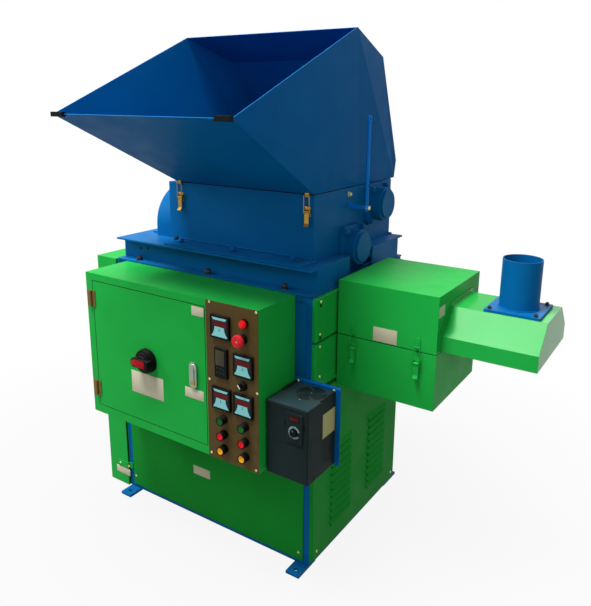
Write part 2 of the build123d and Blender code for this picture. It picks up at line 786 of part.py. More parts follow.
# Collars of the push buttons, lamp, stop and selector
BUTTON_SPOTS = [(column, row) for column in BUTTON_COLUMNS for row in BUTTON_ROWS]
with BuildPart() as control_collars:
    with BuildSketch(Plane.XZ.offset(-PLATE_FRONT)):
        with Locations(*[on_plate(spot) for spot in BUTTON_SPOTS]):
            RegularPolygon(BUTTON_COLLAR_R, TURNED_SIDES)
    extrude(amount=BUTTON_COLLAR_H)
    with BuildSketch(Plane.XZ.offset(-PLATE_FRONT + BUTTON_COLLAR_H)):
        with Locations(*[on_plate(spot) for spot in BUTTON_SPOTS]):
            RegularPolygon(BUTTON_HEAD_R + RUN_GAP, TURNED_SIDES)
    extrude(amount=-BUTTON_WELL, mode=Mode.SUBTRACT)
    with BuildSketch(Plane.XZ.offset(-PLATE_FRONT)):
        with Locations(on_plate(LAMP_SPOT), on_plate(SELECTOR_SPOT)):
            RegularPolygon(BUTTON_COLLAR_R, TURNED_SIDES)
    extrude(amount=BEZEL_H)
    with BuildSketch(Plane.XZ.offset(-PLATE_FRONT)):
        with Locations(on_plate(STOP_SPOT)):
            RegularPolygon(STOP_COLLAR_R, TURNED_SIDES)
    extrude(amount=STOP_COLLAR_H)
    with BuildSketch(Plane.XZ.offset(-PLATE_FRONT + STOP_COLLAR_H)):
        with Locations(on_plate(STOP_SPOT)):
            RegularPolygon(STOP_STEM_R + RUN_GAP, TURNED_SIDES)
    extrude(amount=-BUTTON_WELL, mode=Mode.SUBTRACT)
finish(control_collars.part, "control_collars")

# Pilot lamp lens
with BuildPart() as pilot_lamp:
    lamp_x, lamp_z = on_plate(LAMP_SPOT)
    lamp_y = PLATE_FRONT - BEZEL_H
    add(tapered(
        turned_outline(lamp_x, lamp_y, lamp_z, LAMP_R),
        turned_outline(lamp_x, lamp_y - LAMP_H, lamp_z, LAMP_FACE_R),
    ))
finish(pilot_lamp.part, "pilot_lamp")

# Emergency stop: mushroom head on a stem that slides in its collar
STEM_LOW = STOP_COLLAR_H - BUTTON_WELL + STOP_STROKE + RUN_GAP
HEAD_LOW = STOP_COLLAR_H + STOP_STROKE + RUN_GAP
with BuildPart() as emergency_stop:
    with BuildSketch(Plane.XZ.offset(-PLATE_FRONT + STEM_LOW)):
        with Locations(on_plate(STOP_SPOT)):
            RegularPolygon(STOP_STEM_R, TURNED_SIDES)
    extrude(amount=HEAD_LOW - STEM_LOW)
    stop_x, stop_z = on_plate(STOP_SPOT)
    head_y = PLATE_FRONT - HEAD_LOW
    add(tapered(
        turned_outline(stop_x, head_y, stop_z, STOP_HEAD_R),
        turned_outline(stop_x, head_y - STOP_HEAD_H, stop_z, STOP_FACE_R),
    ))
finish(emergency_stop.part, "emergency_stop")

# Selector knob: short drum with a grip bar
with BuildPart() as selector_knob:
    with BuildSketch(Plane.XZ.offset(-PLATE_FRONT + BEZEL_H + RUN_GAP)):
        with Locations(on_plate(SELECTOR_SPOT)):
            Circle(SELECTOR_R)
    extrude(amount=SELECTOR_DRUM_H)
    with BuildSketch(Plane.XZ.offset(-PLATE_FRONT + BEZEL_H + RUN_GAP + SELECTOR_DRUM_H)):
        with Locations(on_plate(SELECTOR_SPOT)):
            Rectangle(*SELECTOR_BAR)
    extrude(amount=SELECTOR_BAR_H)
finish(selector_knob.part, "selector_knob")

# Push button heads, one sub-part each, sliding in their collars
BUTTON_LOW = BUTTON_COLLAR_H - BUTTON_WELL + BUTTON_STROKE + RUN_GAP
for column_name, column in zip(("left", "right"), BUTTON_COLUMNS):
    for row_name, row in zip(("start", "stop", "reset"), BUTTON_ROWS):
        with BuildPart() as button_head:
            with BuildSketch(Plane.XZ.offset(-PLATE_FRONT + BUTTON_LOW)):
                with Locations(on_plate((column, row))):
                    RegularPolygon(BUTTON_HEAD_R, TURNED_SIDES)
            extrude(amount=BUTTON_HEAD_H)
        finish(button_head.part, "button_" + row_name + "_" + column_name)

# Inverter bracket, a plate that shows above and beside the case
with BuildPart() as inverter_bracket:
    add(outward(
        INV_X0, INV_X1 + BRACKET_RIM_SIDE, INV_Z0 - BRACKET_RIM, INV_Z1 + BRACKET_RIM_TOP, SKIN_Y, BRACKET_T
    ))
finish(inverter_bracket.part, "inverter_bracket")

# Inverter case with eased vertical edges
with BuildPart() as inverter_case:
    add(brick(INV_X0, INV_X1, INV_FRONT, INV_BACK, INV_Z0, INV_Z1))
    chamfer(inverter_case.faces().sort_by(Axis.Y)[0].edges(), SHEET)
finish(inverter_case.part, "inverter_case")

# Inverter keypad
KEYPAD_X = INV_X0 + KEYPAD_SPOT[0]
KEYPAD_Z = INV_Z0 + KEYPAD_SPOT[1]
with BuildPart() as inverter_keypad:
    add(outward(
        KEYPAD_X - KEYPAD_W / 2,
        KEYPAD_X + KEYPAD_W / 2,
        KEYPAD_Z - KEYPAD_H / 2,
        KEYPAD_Z + KEYPAD_H / 2,
        INV_FRONT,
        KEYPAD_T,
    ))
    chamfer(inverter_keypad.faces().sort_by(Axis.Y)[0].edges(), EASE)
finish(inverter_keypad.part, "inverter_keypad")

# Inverter dial
with BuildPart() as inverter_dial:
    with BuildSketch(Plane.XZ.offset(-INV_FRONT + KEYPAD_T + RUN_GAP)):
        with Locations((KEYPAD_X, KEYPAD_Z - DIAL_DROP)):
            Circle(DIAL_R)
    extrude(amount=DIAL_H)
finish(inverter_dial.part, "inverter_dial")

# Pedestal: front and rear channel webs, side webs and a lower flange ring
PED_MID = ((PED_X0 + PED_X1) / 2, (PED_Y0 + PED_Y1) / 2)
PED_W = PED_X1 - PED_X0
PED_D = PED_Y1 - PED_Y0
with BuildPart() as pedestal_frame:
    with BuildSketch(Plane.XY.offset(FRAME_TOP)):
        with Locations(PED_MID):
            Rectangle(PED_W, PED_D)
            Rectangle(PED_W - 2 * PED_RING_SIDE, PED_D - 2 * PED_RING_END, mode=Mode.SUBTRACT)
    extrude(amount=FLANGE_T)
    with BuildSketch(Plane.XY.offset(FRAME_TOP + FLANGE_T)):
        with Locations(PED_MID):
            Rectangle(PED_W, PED_D - 2 * WEB_INSET)
            Rectangle(PED_W - 2 * FLANGE_T, PED_D - 2 * WEB_INSET - 2 * FLANGE_T, mode=Mode.SUBTRACT)
    extrude(amount=PED_H - FLANGE_T)
    add(brick(HOUSE_X1, PED_X1, NOTCH_Y0, NOTCH_Y1, NOTCH_Z, PED_TOP), mode=Mode.SUBTRACT)
finish(pedestal_frame.part, "pedestal_frame")

# Deck plate with the shredder throat and the bearing notch
with BuildPart() as deck_plate:
    add(brick(PED_X0, PED_X1, PED_Y0, PED_Y1, PED_TOP, DECK_Z))
    throat = brick(
        HOUSE_X0 + HOUSE_T, HOUSE_X1 - HOUSE_T, HOUSE_Y0 + HOUSE_T, HOUSE_Y1 - HOUSE_T, PED_TOP, DECK_Z
    )
    add(throat, mode=Mode.SUBTRACT)
    add(brick(HOUSE_X1, PED_X1, NOTCH_Y0, NOTCH_Y1, PED_TOP, DECK_Z), mode=Mode.SUBTRACT)
finish(deck_plate.part, "deck_plate")

# Shredder housing: four walls with bolting lips at front and rear
with BuildPart() as shredder_housing:
    add(brick(HOUSE_X0, HOUSE_X1, HOUSE_Y0, HOUSE_Y1, DECK_Z, HOUSE_TOP))
    lip_x0 = HOUSE_X0 + HOUSE_LIP_SHIFT
    lip_x1 = HOUSE_X1 + HOUSE_LIP_SHIFT
    add(brick(lip_x0, lip_x1, HOUSE_Y0 - HOUSE_LIP, HOUSE_Y0, DECK_Z, DECK_Z + FLANGE_T))
    add(brick(lip_x0, lip_x1, HOUSE_Y1, HOUSE_Y1 + HOUSE_LIP_BACK, DECK_Z, DECK_Z + FLANGE_T))
    cavity = brick(
        HOUSE_X0 + HOUSE_T, HOUSE_X1 - HOUSE_T, HOUSE_Y0 + HOUSE_T, HOUSE_Y1 - HOUSE_T, DECK_Z, HOUSE_TOP
    )
    add(cavity, mode=Mode.SUBTRACT)
finish(shredder_housing.part, "shredder_housing")

def arch_form(x0, x1, radius):
    """Return the half round cover's body between two X planes."""
    with BuildPart() as arch:
        with BuildSketch(Plane.YZ.offset(x0)):
            with BuildLine():
                Polyline(
                    (ARCH_Y + radius, DECK_Z + ARCH_UP),
                    (ARCH_Y + radius, DECK_Z),
                    (ARCH_Y - radius, DECK_Z),
                    (ARCH_Y - radius, DECK_Z + ARCH_UP),
                )
                ThreePointArc(
                    (ARCH_Y - radius, DECK_Z + ARCH_UP),
                    (ARCH_Y, DECK_Z + ARCH_UP + radius),
                    (ARCH_Y + radius, DECK_Z + ARCH_UP),
                )
            make_face()
        extrude(amount=x1 - x0)
    return arch.part


# Gear guard: a tall box, a half round cover and its foot, open towards the housing
ARCH_Y = HOUSE_Y0 + GEAR_BOX_IN + ARCH_R
ARCH_X1 = HOUSE_X0 - GEAR_BOX_W
ARCH_X0 = ARCH_X1 - ARCH_W
GEAR_TOP = HOUSE_TOP - GEAR_BOX_DROP
with BuildPart() as gear_guard:
    add(brick(ARCH_X1, HOUSE_X0, HOUSE_Y0 + GEAR_BOX_IN, HOUSE_Y1 - GEAR_BOX_IN, DECK_Z, GEAR_TOP))
    add(arch_form(ARCH_X0, ARCH_X1, ARCH_R))
    gear_space = brick(
        ARCH_X1 + GEAR_T,
        HOUSE_X0,
        HOUSE_Y0 + GEAR_BOX_IN + GEAR_T,
        HOUSE_Y1 - GEAR_BOX_IN - GEAR_T,
        DECK_Z,
        GEAR_TOP - GEAR_T,
    )
    add(gear_space, mode=Mode.SUBTRACT)
    add(arch_form(ARCH_X0 + GEAR_T, ARCH_X1 + GEAR_T, ARCH_R - GEAR_T), mode=Mode.SUBTRACT)
    arch_foot = brick(
        ARCH_X0 - ARCH_FOOT_OUT,
        ARCH_X0,
        ARCH_Y - ARCH_R + ARCH_FOOT_IN,
        ARCH_Y + ARCH_R - ARCH_FOOT_IN,
        DECK_Z,
        DECK_Z + FLANGE_T,
    )
    add(arch_foot)
finish(gear_guard.part, "gear_guard")

# Flange bearings with stepped end caps
with BuildPart() as flange_bearings:
    with BuildSketch(Plane.YZ.offset(HOUSE_X1)):
        with Locations(*BEARING_AT):
            Rectangle(BEARING_SIZE, BEARING_SIZE)
    extrude(amount=BEARING_T)
    chamfer(flange_bearings.edges().filter_by(Axis.X), BEARING_CORNER)
    with BuildSketch(Plane.YZ.offset(HOUSE_X1 + BEARING_T)):
        with Locations(*BEARING_AT):
            RegularPolygon(CAP_R, CAP_SIDES)
    extrude(amount=CAP_OUT - CAP_STEP)
    with BuildSketch(Plane.YZ.offset(HOUSE_X1 + BEARING_T + CAP_OUT - CAP_STEP)):
        with Locations(*BEARING_AT):
            RegularPolygon(CAP_R - CAP_STEP, CAP_SIDES)
    extrude(amount=CAP_STEP)
finish(flange_bearings.part, "flange_bearings")

# Rotors: shafts between the side walls with staggered hooked cutters
cutter_points = []
hook = radians(CUTTER_HOOK)
low_r = CUTTER_R - CUTTER_T
for tooth in range(CUTTER_TEETH):
    turn = radians(360 * tooth / CUTTER_TEETH)
    cutter_points.append((CUTTER_R * cos(turn), CUTTER_R * sin(turn)))
    cutter_points.append((low_r * cos(turn + hook), low_r * sin(turn + hook)))
inner_w = HOUSE_W - 2 * HOUSE_T
cutter_count = int((inner_w - CUTTER_PITCH) // CUTTER_PITCH)
with BuildPart() as rotors:
    for place, (rotor_y, rotor_z) in enumerate(BEARING_AT):
        with BuildSketch(Plane.YZ.offset(HOUSE_X0 + HOUSE_T)):
            with Locations((rotor_y, rotor_z)):
                RegularPolygon(SHAFT_R, SHAFT_SIDES)
        extrude(amount=inner_w)
        for index in range(cutter_count):
            cutter_x = HOUSE_X0 + HOUSE_T + CUTTER_PITCH * (index + (1 + place) / 2)
            with BuildSketch(Plane.YZ.offset(cutter_x)):
                with Locations((rotor_y, rotor_z)):
                    Polygon(*cutter_points, align=None)
            extrude(amount=CUTTER_T)
finish(rotors.part, "rotors")


def shifted(corners, moves):
    """Return a closed outline with each edge moved inwards by its own amount."""
    count = len(corners)
    lines = []
    for index in range(count):
        y0, z0 = corners[index]
        y1, z1 = corners[(index + 1) % count]
        turn = atan2(z1 - z0, y1 - y0) - radians(90)
        step = moves[index]
        lines.append((y0 + step * cos(turn), z0 + step * sin(turn), y1 - y0, z1 - z0))
    result = []
    for index in range(count):
        y0, z0, dy0, dz0 = lines[index - 1]
        y1, z1, dy1, dz1 = lines[index]
        along = ((y1 - y0) * dz1 - (z1 - z0) * dy1) / (dy0 * dz1 - dz0 * dy1)
        result.append((y0 + along * dy0, z0 + along * dz0))
    return result


def hopper_form(outline, halves):
    """Return the closed folded form over a side outline and its half widths."""
    rows = []
    for side in (-1, 1):
        row = []
        for (y, z), half in zip(outline, halves):
            row.append((HOP_X + side * half, y, z))
        row.append((HOP_X + side * halves[0], HOP_CREASE_Y, outline[0][1]))
        rows.append(row)
    left, right = rows
    corners = []
    for start in range(len(outline)):
        end = (start + 1) % len(outline)
        corners.append([left[start], right[start], right[end], left[end]])
    for front, lip, top, eave, knee, back, crease in rows:
        corners.append([front, lip, crease])
        corners.append([lip, top, crease])
        corners.append([top, back, crease])
        corners.append([top, eave, back])
        corners.append([eave, knee, back])
    skins = [Face(Wire.make_polygon(points, close=True)) for points in corners]
    return Solid(Shell(skins))


def station(place):
    """Return a hopper corner from its offsets to the base's front edge."""
    return (HOUSE_Y0 + place[0], HOP_Z + place[1])


# Folded hopper shell, open at the mouth and at the throat
HOP_OUTLINE = (
    (HOUSE_Y0, HOP_Z),
    station(HOP_LIP),
    station(HOP_TOP),
    station(HOP_EAVE),
    (HOP_BACK, HOP_Z + HOP_KNEE_UP),
    (HOP_BACK, HOP_Z),
)
HOP_HALVES = (
    HOP_HALF,
    HOP_HALF + HOP_LIP[2],
    HOP_HALF + HOP_TOP[2],
    HOP_HALF + HOP_EAVE[2],
    HOP_HALF + HOP_KNEE_SPREAD,
    HOP_HALF,
)
HOP_MOVES = (HOP_T, -HOP_T, HOP_T, HOP_T, HOP_T, -HOP_T)


def knuckle(x0, x1, y, z):
    """Return one solid knuckle of a rear hinge."""
    return bar_along_x(x0, x1, y, z, REAR_HINGE_R, KNUCKLE_SIDES)


def knuckle_row(mid_x, y, z, fixed):
    """Return the fixed end knuckles with their pin, or the bored middle one."""
    with BuildPart() as row:
        half = REAR_MID / 2 + RUN_GAP
        if fixed:
            add(knuckle(mid_x - half - REAR_KNUCKLE, mid_x - half, y, z))
            add(knuckle(mid_x + half, mid_x + half + REAR_KNUCKLE, y, z))
            add(bar_along_x(mid_x - half, mid_x + half, y, z, REAR_PIN_R, KNUCKLE_SIDES))
        else:
            add(knuckle(mid_x - REAR_MID / 2, mid_x + REAR_MID / 2, y, z))
            bore = rod_along_x(mid_x - REAR_MID / 2, mid_x + REAR_MID / 2, y, z, REAR_PIN_R + PIN_FIT)
            add(bore, mode=Mode.SUBTRACT)
    return row.part


def knuckle_spans(mid_x, fixed):
    """Return the X spans that the leaves of one hinge half cover."""
    half = REAR_MID / 2 + RUN_GAP
    if fixed:
        return ((mid_x - half - REAR_KNUCKLE, mid_x - half), (mid_x + half, mid_x + half + REAR_KNUCKLE))
    return ((mid_x - REAR_MID / 2, mid_x + REAR_MID / 2),)


HOP_HINGES = (HOP_X - HOP_HINGE_SPREAD / 2, HOP_X + HOP_HINGE_SPREAD / 2)
with BuildPart() as hopper:
    add(hopper_form(HOP_OUTLINE, HOP_HALVES))
    inner_halves = [half - HOP_T for half in HOP_HALVES]
    add(hopper_form(shifted(HOP_OUTLINE, HOP_MOVES), inner_halves), mode=Mode.SUBTRACT)
finish(hopper.part, "hopper")

# Rear hinge of the hopper: brackets on the housing and straps on the hopper
with BuildPart() as hopper_hinge_fixed:
    for mid_x in HOP_HINGES:
        for x0, x1 in knuckle_spans(mid_x, True):
            add(brick(x0, x1, HOUSE_Y1, HOP_HINGE_Y, HOP_HINGE_Z - REAR_HINGE_R, HOUSE_TOP - RUN_GAP))
        add(knuckle_row(mid_x, HOP_HINGE_Y, HOP_HINGE_Z, True))
finish(hopper_hinge_fixed.part, "hopper_hinge_fixed")

with BuildPart() as hopper_hinge_straps:
    for mid_x in HOP_HINGES:
        for x0, x1 in knuckle_spans(mid_x, False):
            add(brick(x0, x1, HOP_BACK, HOP_BACK + REAR_LEAF_T, HOP_Z, HOP_Z + REAR_LEAF_H))
        add(knuckle_row(mid_x, HOP_HINGE_Y, HOP_HINGE_Z, False))
finish(hopper_hinge_straps.part, "hopper_hinge_straps")

# Rubber edging over both corners of the hopper lip
with BuildPart() as hopper_trim:
    lip_y, lip_z = HOP_OUTLINE[1]
    for side in (-1, 1):
        corner_x = HOP_X + side * HOP_HALVES[1]
        run_x = corner_x - side * TRIM_RUN
        with BuildSketch(Plane.YZ.offset(min(corner_x, run_x))):
            with Locations((lip_y, lip_z)):
                Rectangle(2 * (TRIM_T + HOP_T), 2 * (TRIM_T + HOP_T))
        extrude(amount=TRIM_RUN)
    add(hopper.part, mode=Mode.SUBTRACT)
finish(hopper_trim.part, "hopper_trim")

# Stay rod: stud on the housing, upright bar and flat eye on top
with BuildPart() as stay_rod:
    stud_z = ROD_Z + ROD_STUD_UP
    add(bar_along_x(HOUSE_X1, ROD_X + ROD_STUD_R, ROD_Y, stud_z, ROD_STUD_R, KNUCKLE_SIDES))
    add(post_along_z(ROD_X, ROD_Y, ROD_Z, ROD_Z + ROD_L, ROD_R))
    eye_x0 = ROD_X - ROD_EYE_T / 2
    eye_x1 = ROD_X + ROD_EYE_T / 2
    add(bar_along_x(eye_x0, eye_x1, ROD_Y, ROD_Z + ROD_L, ROD_EYE_R, TURNED_SIDES))
    hole = bar_along_x(ROD_X - ROD_R, ROD_X + ROD_R, ROD_Y, ROD_Z + ROD_L, ROD_EYE_HOLE_R, KNUCKLE_SIDES)
    add(hole, mode=Mode.SUBTRACT)
finish(stay_rod.part, "stay_rod")

# Heated die box, lower half, carried by the barrel neck through the tray
HEAT_HINGES = (HEAT_X0 + HEAT_HINGE_IN, HEAT_X1 - HEAT_HINGE_IN)
with BuildPart() as heater_base:
    add(brick(HEAT_X0, HEAT_X1, HEAT_Y0, HEAT_Y1, HEAT_Z0, BASE_TOP))
    heater_base_open = heater_base.faces().sort_by(Axis.Z)[-1]
    offset(amount=-HEAT_T, openings=heater_base_open)
    half_flange = NECK_FLANGE / 2
    add(brick(
        TRAY_FACE,
        HEAT_X0,
        NECK_Y - half_flange,
        NECK_Y + half_flange,
        NECK_Z - half_flange,
        NECK_Z + half_flange,
    ))
    add(rod_along_x(TRAY_FACE - NECK_IN, TRAY_FACE, NECK_Y, NECK_Z, NECK_R))
    for mid_x in HEAT_HINGES:
        for x0, x1 in knuckle_spans(mid_x, True):
            add(brick(x0, x1, HEAT_Y1, HEAT_Y1 + REAR_LEAF_T, BASE_TOP - REAR_LEAF_H, BASE_TOP))
        add(knuckle_row(mid_x, HEAT_HINGE_Y, HEAT_SPLIT, True))
finish(heater_base.part, "heater_base")

# Heated die box, lid, with the die mouth that opens into the hood
with BuildPart() as heater_lid:
    add(brick(HEAT_X0, HEAT_X1, HEAT_Y0, HEAT_Y1, LID_LOW, HEAT_Z1))
    heater_lid_open = heater_lid.faces().sort_by(Axis.Z)[0]
    offset(amount=-HEAT_T, openings=heater_lid_open)
    die_mouth = brick(
        HEAT_X1 - HEAT_T,
        HEAT_X1,
        HOOD_Y - DIE_MOUTH_W / 2,
        HOOD_Y + DIE_MOUTH_W / 2,
        HOOD_Z0,
        HOOD_Z0 + DIE_MOUTH_H,
    )
    add(die_mouth, mode=Mode.SUBTRACT)
    for mid_x in HEAT_HINGES:
        for x0, x1 in knuckle_spans(mid_x, False):
            add(brick(x0, x1, HEAT_Y1, HEAT_Y1 + REAR_LEAF_T, LID_LOW, LID_LOW + REAR_LEAF_H))
        add(knuckle_row(mid_x, HEAT_HINGE_Y, HEAT_SPLIT, False))
finish(heater_lid.part, "heater_lid")


def hood_section(grow):
    """Return the hood's end outline grown by an amount, or shrunk and run past its open edge."""
    side = HOOD_HALF + grow
    flat = HOOD_TOP_HALF + grow / 2
    shoulder = HOOD_Z0 + HOOD_SIDE_H + grow / 2
    low = HOOD_Z0 + min(grow, 0)
    return [
        (HOOD_Y - side, low),
        (HOOD_Y - side, shoulder),
        (HOOD_Y - flat, HOOD_TOP + grow),
        (HOOD_Y + flat, HOOD_TOP + grow),
        (HOOD_Y + side, shoulder),
        (HOOD_Y + side, low),
    ]


# Die hood: rim against the lid and a folded cover, open below
with BuildPart() as die_hood:
    with BuildSketch(Plane.YZ.offset(HEAT_X1)):
        Polygon(*hood_section(HOOD_RIM), align=None)
    extrude(amount=HOOD_RIM_T)
    with BuildSketch(Plane.YZ.offset(HOOD_X0)):
        Polygon(*hood_section(0), align=None)
    extrude(amount=HOOD_L)
    with BuildSketch(Plane.YZ.offset(HEAT_X1)):
        Polygon(*hood_section(-HEAT_T), align=None)
    extrude(amount=HOOD_RIM_T + HOOD_L - HEAT_T, mode=Mode.SUBTRACT)
    add(post_along_z(VENT_X, VENT_Y, HOOD_TOP - HEAT_T, HOOD_TOP, VENT_R - VENT_T), mode=Mode.SUBTRACT)
finish(die_hood.part, "die_hood")

# Vent pipe on its square flange
with BuildPart() as vent_pipe:
    with BuildSketch(Plane.XY.offset(HOOD_TOP)):
        with Locations((VENT_X, VENT_Y)):
            Rectangle(VENT_PLATE, VENT_PLATE)
            Circle(VENT_R - VENT_T, mode=Mode.SUBTRACT)
    extrude(amount=VENT_PLATE_T)
    with BuildSketch(Plane.XY.offset(HOOD_TOP + VENT_PLATE_T)):
        with Locations((VENT_X, VENT_Y)):
            Circle(VENT_R)
            Circle(VENT_R - VENT_T, mode=Mode.SUBTRACT)
    extrude(amount=VENT_H)
finish(vent_pipe.part, "vent_pipe")


def lever_form(column, face_y, pivot_z):
    """Return the swinging lever: bored barrel and paddle with a flicked tail."""
    pin_y = face_y - TOGGLE_PIN_OUT
    half = TOGGLE_W / 2 - TOGGLE_EAR_T - RUN_GAP * 2
    front = pin_y - LEVER_T
    tail_z = pivot_z - LEVER_L
    with BuildPart() as lever:
        with BuildSketch(Plane.YZ.offset(column - half)):
            with BuildLine():
                Polyline(
                    (pin_y, pivot_z),
                    (pin_y, tail_z + LEVER_FLICK + LEVER_T),
                    (pin_y - LEVER_FLICK, tail_z),
                    (front - LEVER_FLICK, tail_z + LEVER_T),
                    (front, tail_z + LEVER_FLICK + 2 * LEVER_T),
                    (front, pivot_z),
                    close=True,
                )
            make_face()
            with Locations((pin_y, pivot_z)):
                RegularPolygon(TOGGLE_BARREL_R, KNUCKLE_SIDES)
                Circle(TOGGLE_PIN_R + PIN_FIT, mode=Mode.SUBTRACT)
        extrude(amount=2 * half)
    return lever.part


# Toggle plates with ears, pin and the drawn loop that reaches up to the strike
with BuildPart() as toggle_plates:
    for family, columns, face_y, loop_z in TOGGLE_SETS:
        pivot_z = loop_z - LOOP_RISE
        for column in columns:
            x0 = column - TOGGLE_W / 2
            x1 = column + TOGGLE_W / 2
            add(outward(
                x0, x1, pivot_z - TOGGLE_PLATE_DOWN, pivot_z + TOGGLE_PLATE_UP, face_y, TOGGLE_PLATE_T
            ))
            ear_out = TOGGLE_PIN_OUT + TOGGLE_BARREL_R
            for ear_x in (x0, x1 - TOGGLE_EAR_T):
                ear = outward(
                    ear_x,
                    ear_x + TOGGLE_EAR_T,
                    pivot_z - TOGGLE_BARREL_R,
                    pivot_z + TOGGLE_BARREL_R,
                    face_y,
                    ear_out,
                )
                add(ear)
            pin_y = face_y - TOGGLE_PIN_OUT
            add(bar_along_x(x0, x1, pin_y, pivot_z, TOGGLE_PIN_R, KNUCKLE_SIDES))
            loop_y = face_y - TOGGLE_PLATE_T
            half = LOOP_W / 2
            add(outward(column - half, column + half, pivot_z + LOOP_FOOT, loop_z, loop_y, LOOP_BAR))
            loop_hole = outward(
                column - half + LOOP_BAR,
                column + half - LOOP_BAR,
                pivot_z + LOOP_FOOT + LOOP_BAR,
                loop_z - LOOP_BAR,
                loop_y,
                LOOP_BAR,
            )
            add(loop_hole, mode=Mode.SUBTRACT)
finish(toggle_plates.part, "toggle_plates")

# Swinging levers, one sub-part each
for family, columns, face_y, loop_z in TOGGLE_SETS:
    for end, column in zip(("left", "right"), columns):
        with BuildPart() as toggle_lever:
            add(lever_form(column, face_y, loop_z - LOOP_RISE))
        finish(toggle_lever.part, "toggle_" + family + "_" + end)

# Strikes under the hopper's front edge, seated on its sloped skin
HOP_SLOPE = HOP_LIP[1] / -HOP_LIP[0]
strike_y0 = HOUSE_Y0 - STRIKE_STANDOFF
strike_y1 = strike_y0 - STRIKE_T
strike_low = HOP_Z - HOP_LOOP_DROP + STRIKE_GAP
with BuildPart() as hopper_strikes:
    for column in HOP_COLUMNS:
        with BuildSketch(Plane.YZ.offset(column - STRIKE_W / 2)):
            with BuildLine():
                Polyline(
                    (strike_y0, strike_low),
                    (strike_y1, strike_low),
                    (strike_y1, HOP_Z + (HOUSE_Y0 - strike_y1) * HOP_SLOPE),
                    (strike_y0, HOP_Z + (HOUSE_Y0 - strike_y0) * HOP_SLOPE),
                    close=True,
                )
            make_face()
        extrude(amount=STRIKE_W)
finish(hopper_strikes.part, "hopper_strikes")

# Strikes on the die box lid: a tab with a hooked lower edge
with BuildPart() as lid_strikes:
    tab_low = HEAT_SPLIT + HEAT_LOOP_UP + STRIKE_GAP
    for column in HEAT_COLUMNS:
        x0 = column - STRIKE_W / 2
        x1 = column + STRIKE_W / 2
        add(outward(x0, x1, tab_low, tab_low + LID_STRIKE_H, HEAT_Y0, TOGGLE_PLATE_T))
        add(outward(x0, x1, tab_low, tab_low + SHEET, HEAT_Y0, STRIKE_T))
finish(lid_strikes.part, "lid_strikes")
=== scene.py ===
"""Studio dressing of a hot melt densifier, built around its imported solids.

The solids give every size and place. This script gives them their finishes, adds the
fasteners, instruments and small fittings, and sets the floor, the lights and the camera.
The machine's pieces are written in millimetres and the studio in metres, in the shared
frame: +Z up, -Y towards the operator.
"""
from __future__ import annotations

import logging
import math
import random
from dataclasses import dataclass
from enum import Enum
from functools import cache
from typing import ClassVar, Iterable, Sequence

import bpy
from mathutils import Matrix, Quaternion, Vector

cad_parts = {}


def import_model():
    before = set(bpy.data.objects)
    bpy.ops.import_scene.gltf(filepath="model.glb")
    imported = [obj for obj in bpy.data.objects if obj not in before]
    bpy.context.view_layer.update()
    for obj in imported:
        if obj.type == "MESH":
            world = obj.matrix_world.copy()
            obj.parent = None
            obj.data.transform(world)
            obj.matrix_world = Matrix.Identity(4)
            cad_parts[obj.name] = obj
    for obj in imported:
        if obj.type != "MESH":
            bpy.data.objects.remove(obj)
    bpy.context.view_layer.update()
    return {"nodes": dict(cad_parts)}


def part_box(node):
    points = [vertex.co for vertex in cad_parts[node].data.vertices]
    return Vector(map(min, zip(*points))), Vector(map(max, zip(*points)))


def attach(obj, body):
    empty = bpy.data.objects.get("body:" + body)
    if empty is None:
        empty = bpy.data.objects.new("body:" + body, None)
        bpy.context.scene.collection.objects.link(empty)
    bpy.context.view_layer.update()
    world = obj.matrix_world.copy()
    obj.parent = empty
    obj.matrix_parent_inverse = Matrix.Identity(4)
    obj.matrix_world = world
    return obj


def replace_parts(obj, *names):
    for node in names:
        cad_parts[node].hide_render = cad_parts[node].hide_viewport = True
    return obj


LOG = logging.getLogger("densifier")
MM = 0.001

Point = Sequence[float]
Pair = tuple[float, float]
Area = tuple[float, float, float, float]
Colour = tuple[int, int, int]
Mesh = bpy.types.Object
Tree = bpy.types.NodeTree
Socket = bpy.types.NodeSocket

# Faces of the solids that the pieces stand on, and the thickness of a blank plate
HOUSE_FRONT = -228.0
HOUSE_RIGHT = 374.0
COLLAR_FRONT = -532.0
LATCH_BOX_FRONT = -198.0
LABEL_THICK = 0.7

# Turned profiles as pairs of radius and height
GREASE_NIPPLE = (
    (0, 0), (4.2, 0), (4.2, 3), (2.6, 3.4), (2.6, 7), (3.6, 7.8), (3.2, 9.8), (1.8, 11), (0, 11.2)
)
LOCK_PROFILE = ((0, 0), (8.4, 0), (8.4, 3.2), (7.6, 4), (6.6, 4), (6, 3.4), (0, 3.4))
STOP_CENTRE = ((0, 0), (3.6, 0), (3, 0.9), (0, 1))

# Turned profiles as shares of a solid's own radius and depth
DISC = ((0, 0), (1, 0), (1, 0.72), (0.96, 1), (0, 1))
DIAL = (
    (0, 0), (1, 0), (1, 0.2), (0.96, 0.27), (0.84, 0.27), (0.8, 0.5), (0.7, 0.56), (0.62, 0.56),
    (0.56, 0.72), (0, 0.74),
)
LAMP_LENS = ((0, 0), (1, 0), (1, 0.45), (0.94, 0.7), (0.8, 0.88), (0.45, 0.98), (0, 1))
SELECTOR_DRUM = ((0, 0), (1, 0), (1, 0.34), (0.94, 0.42), (0.86, 0.42), (0, 0.46))
SPEED_KNOB = ((0, 0), (1, 0), (1, 0.6), (0.88, 0.95), (0.7, 1), (0.62, 0.86), (0, 0.86))


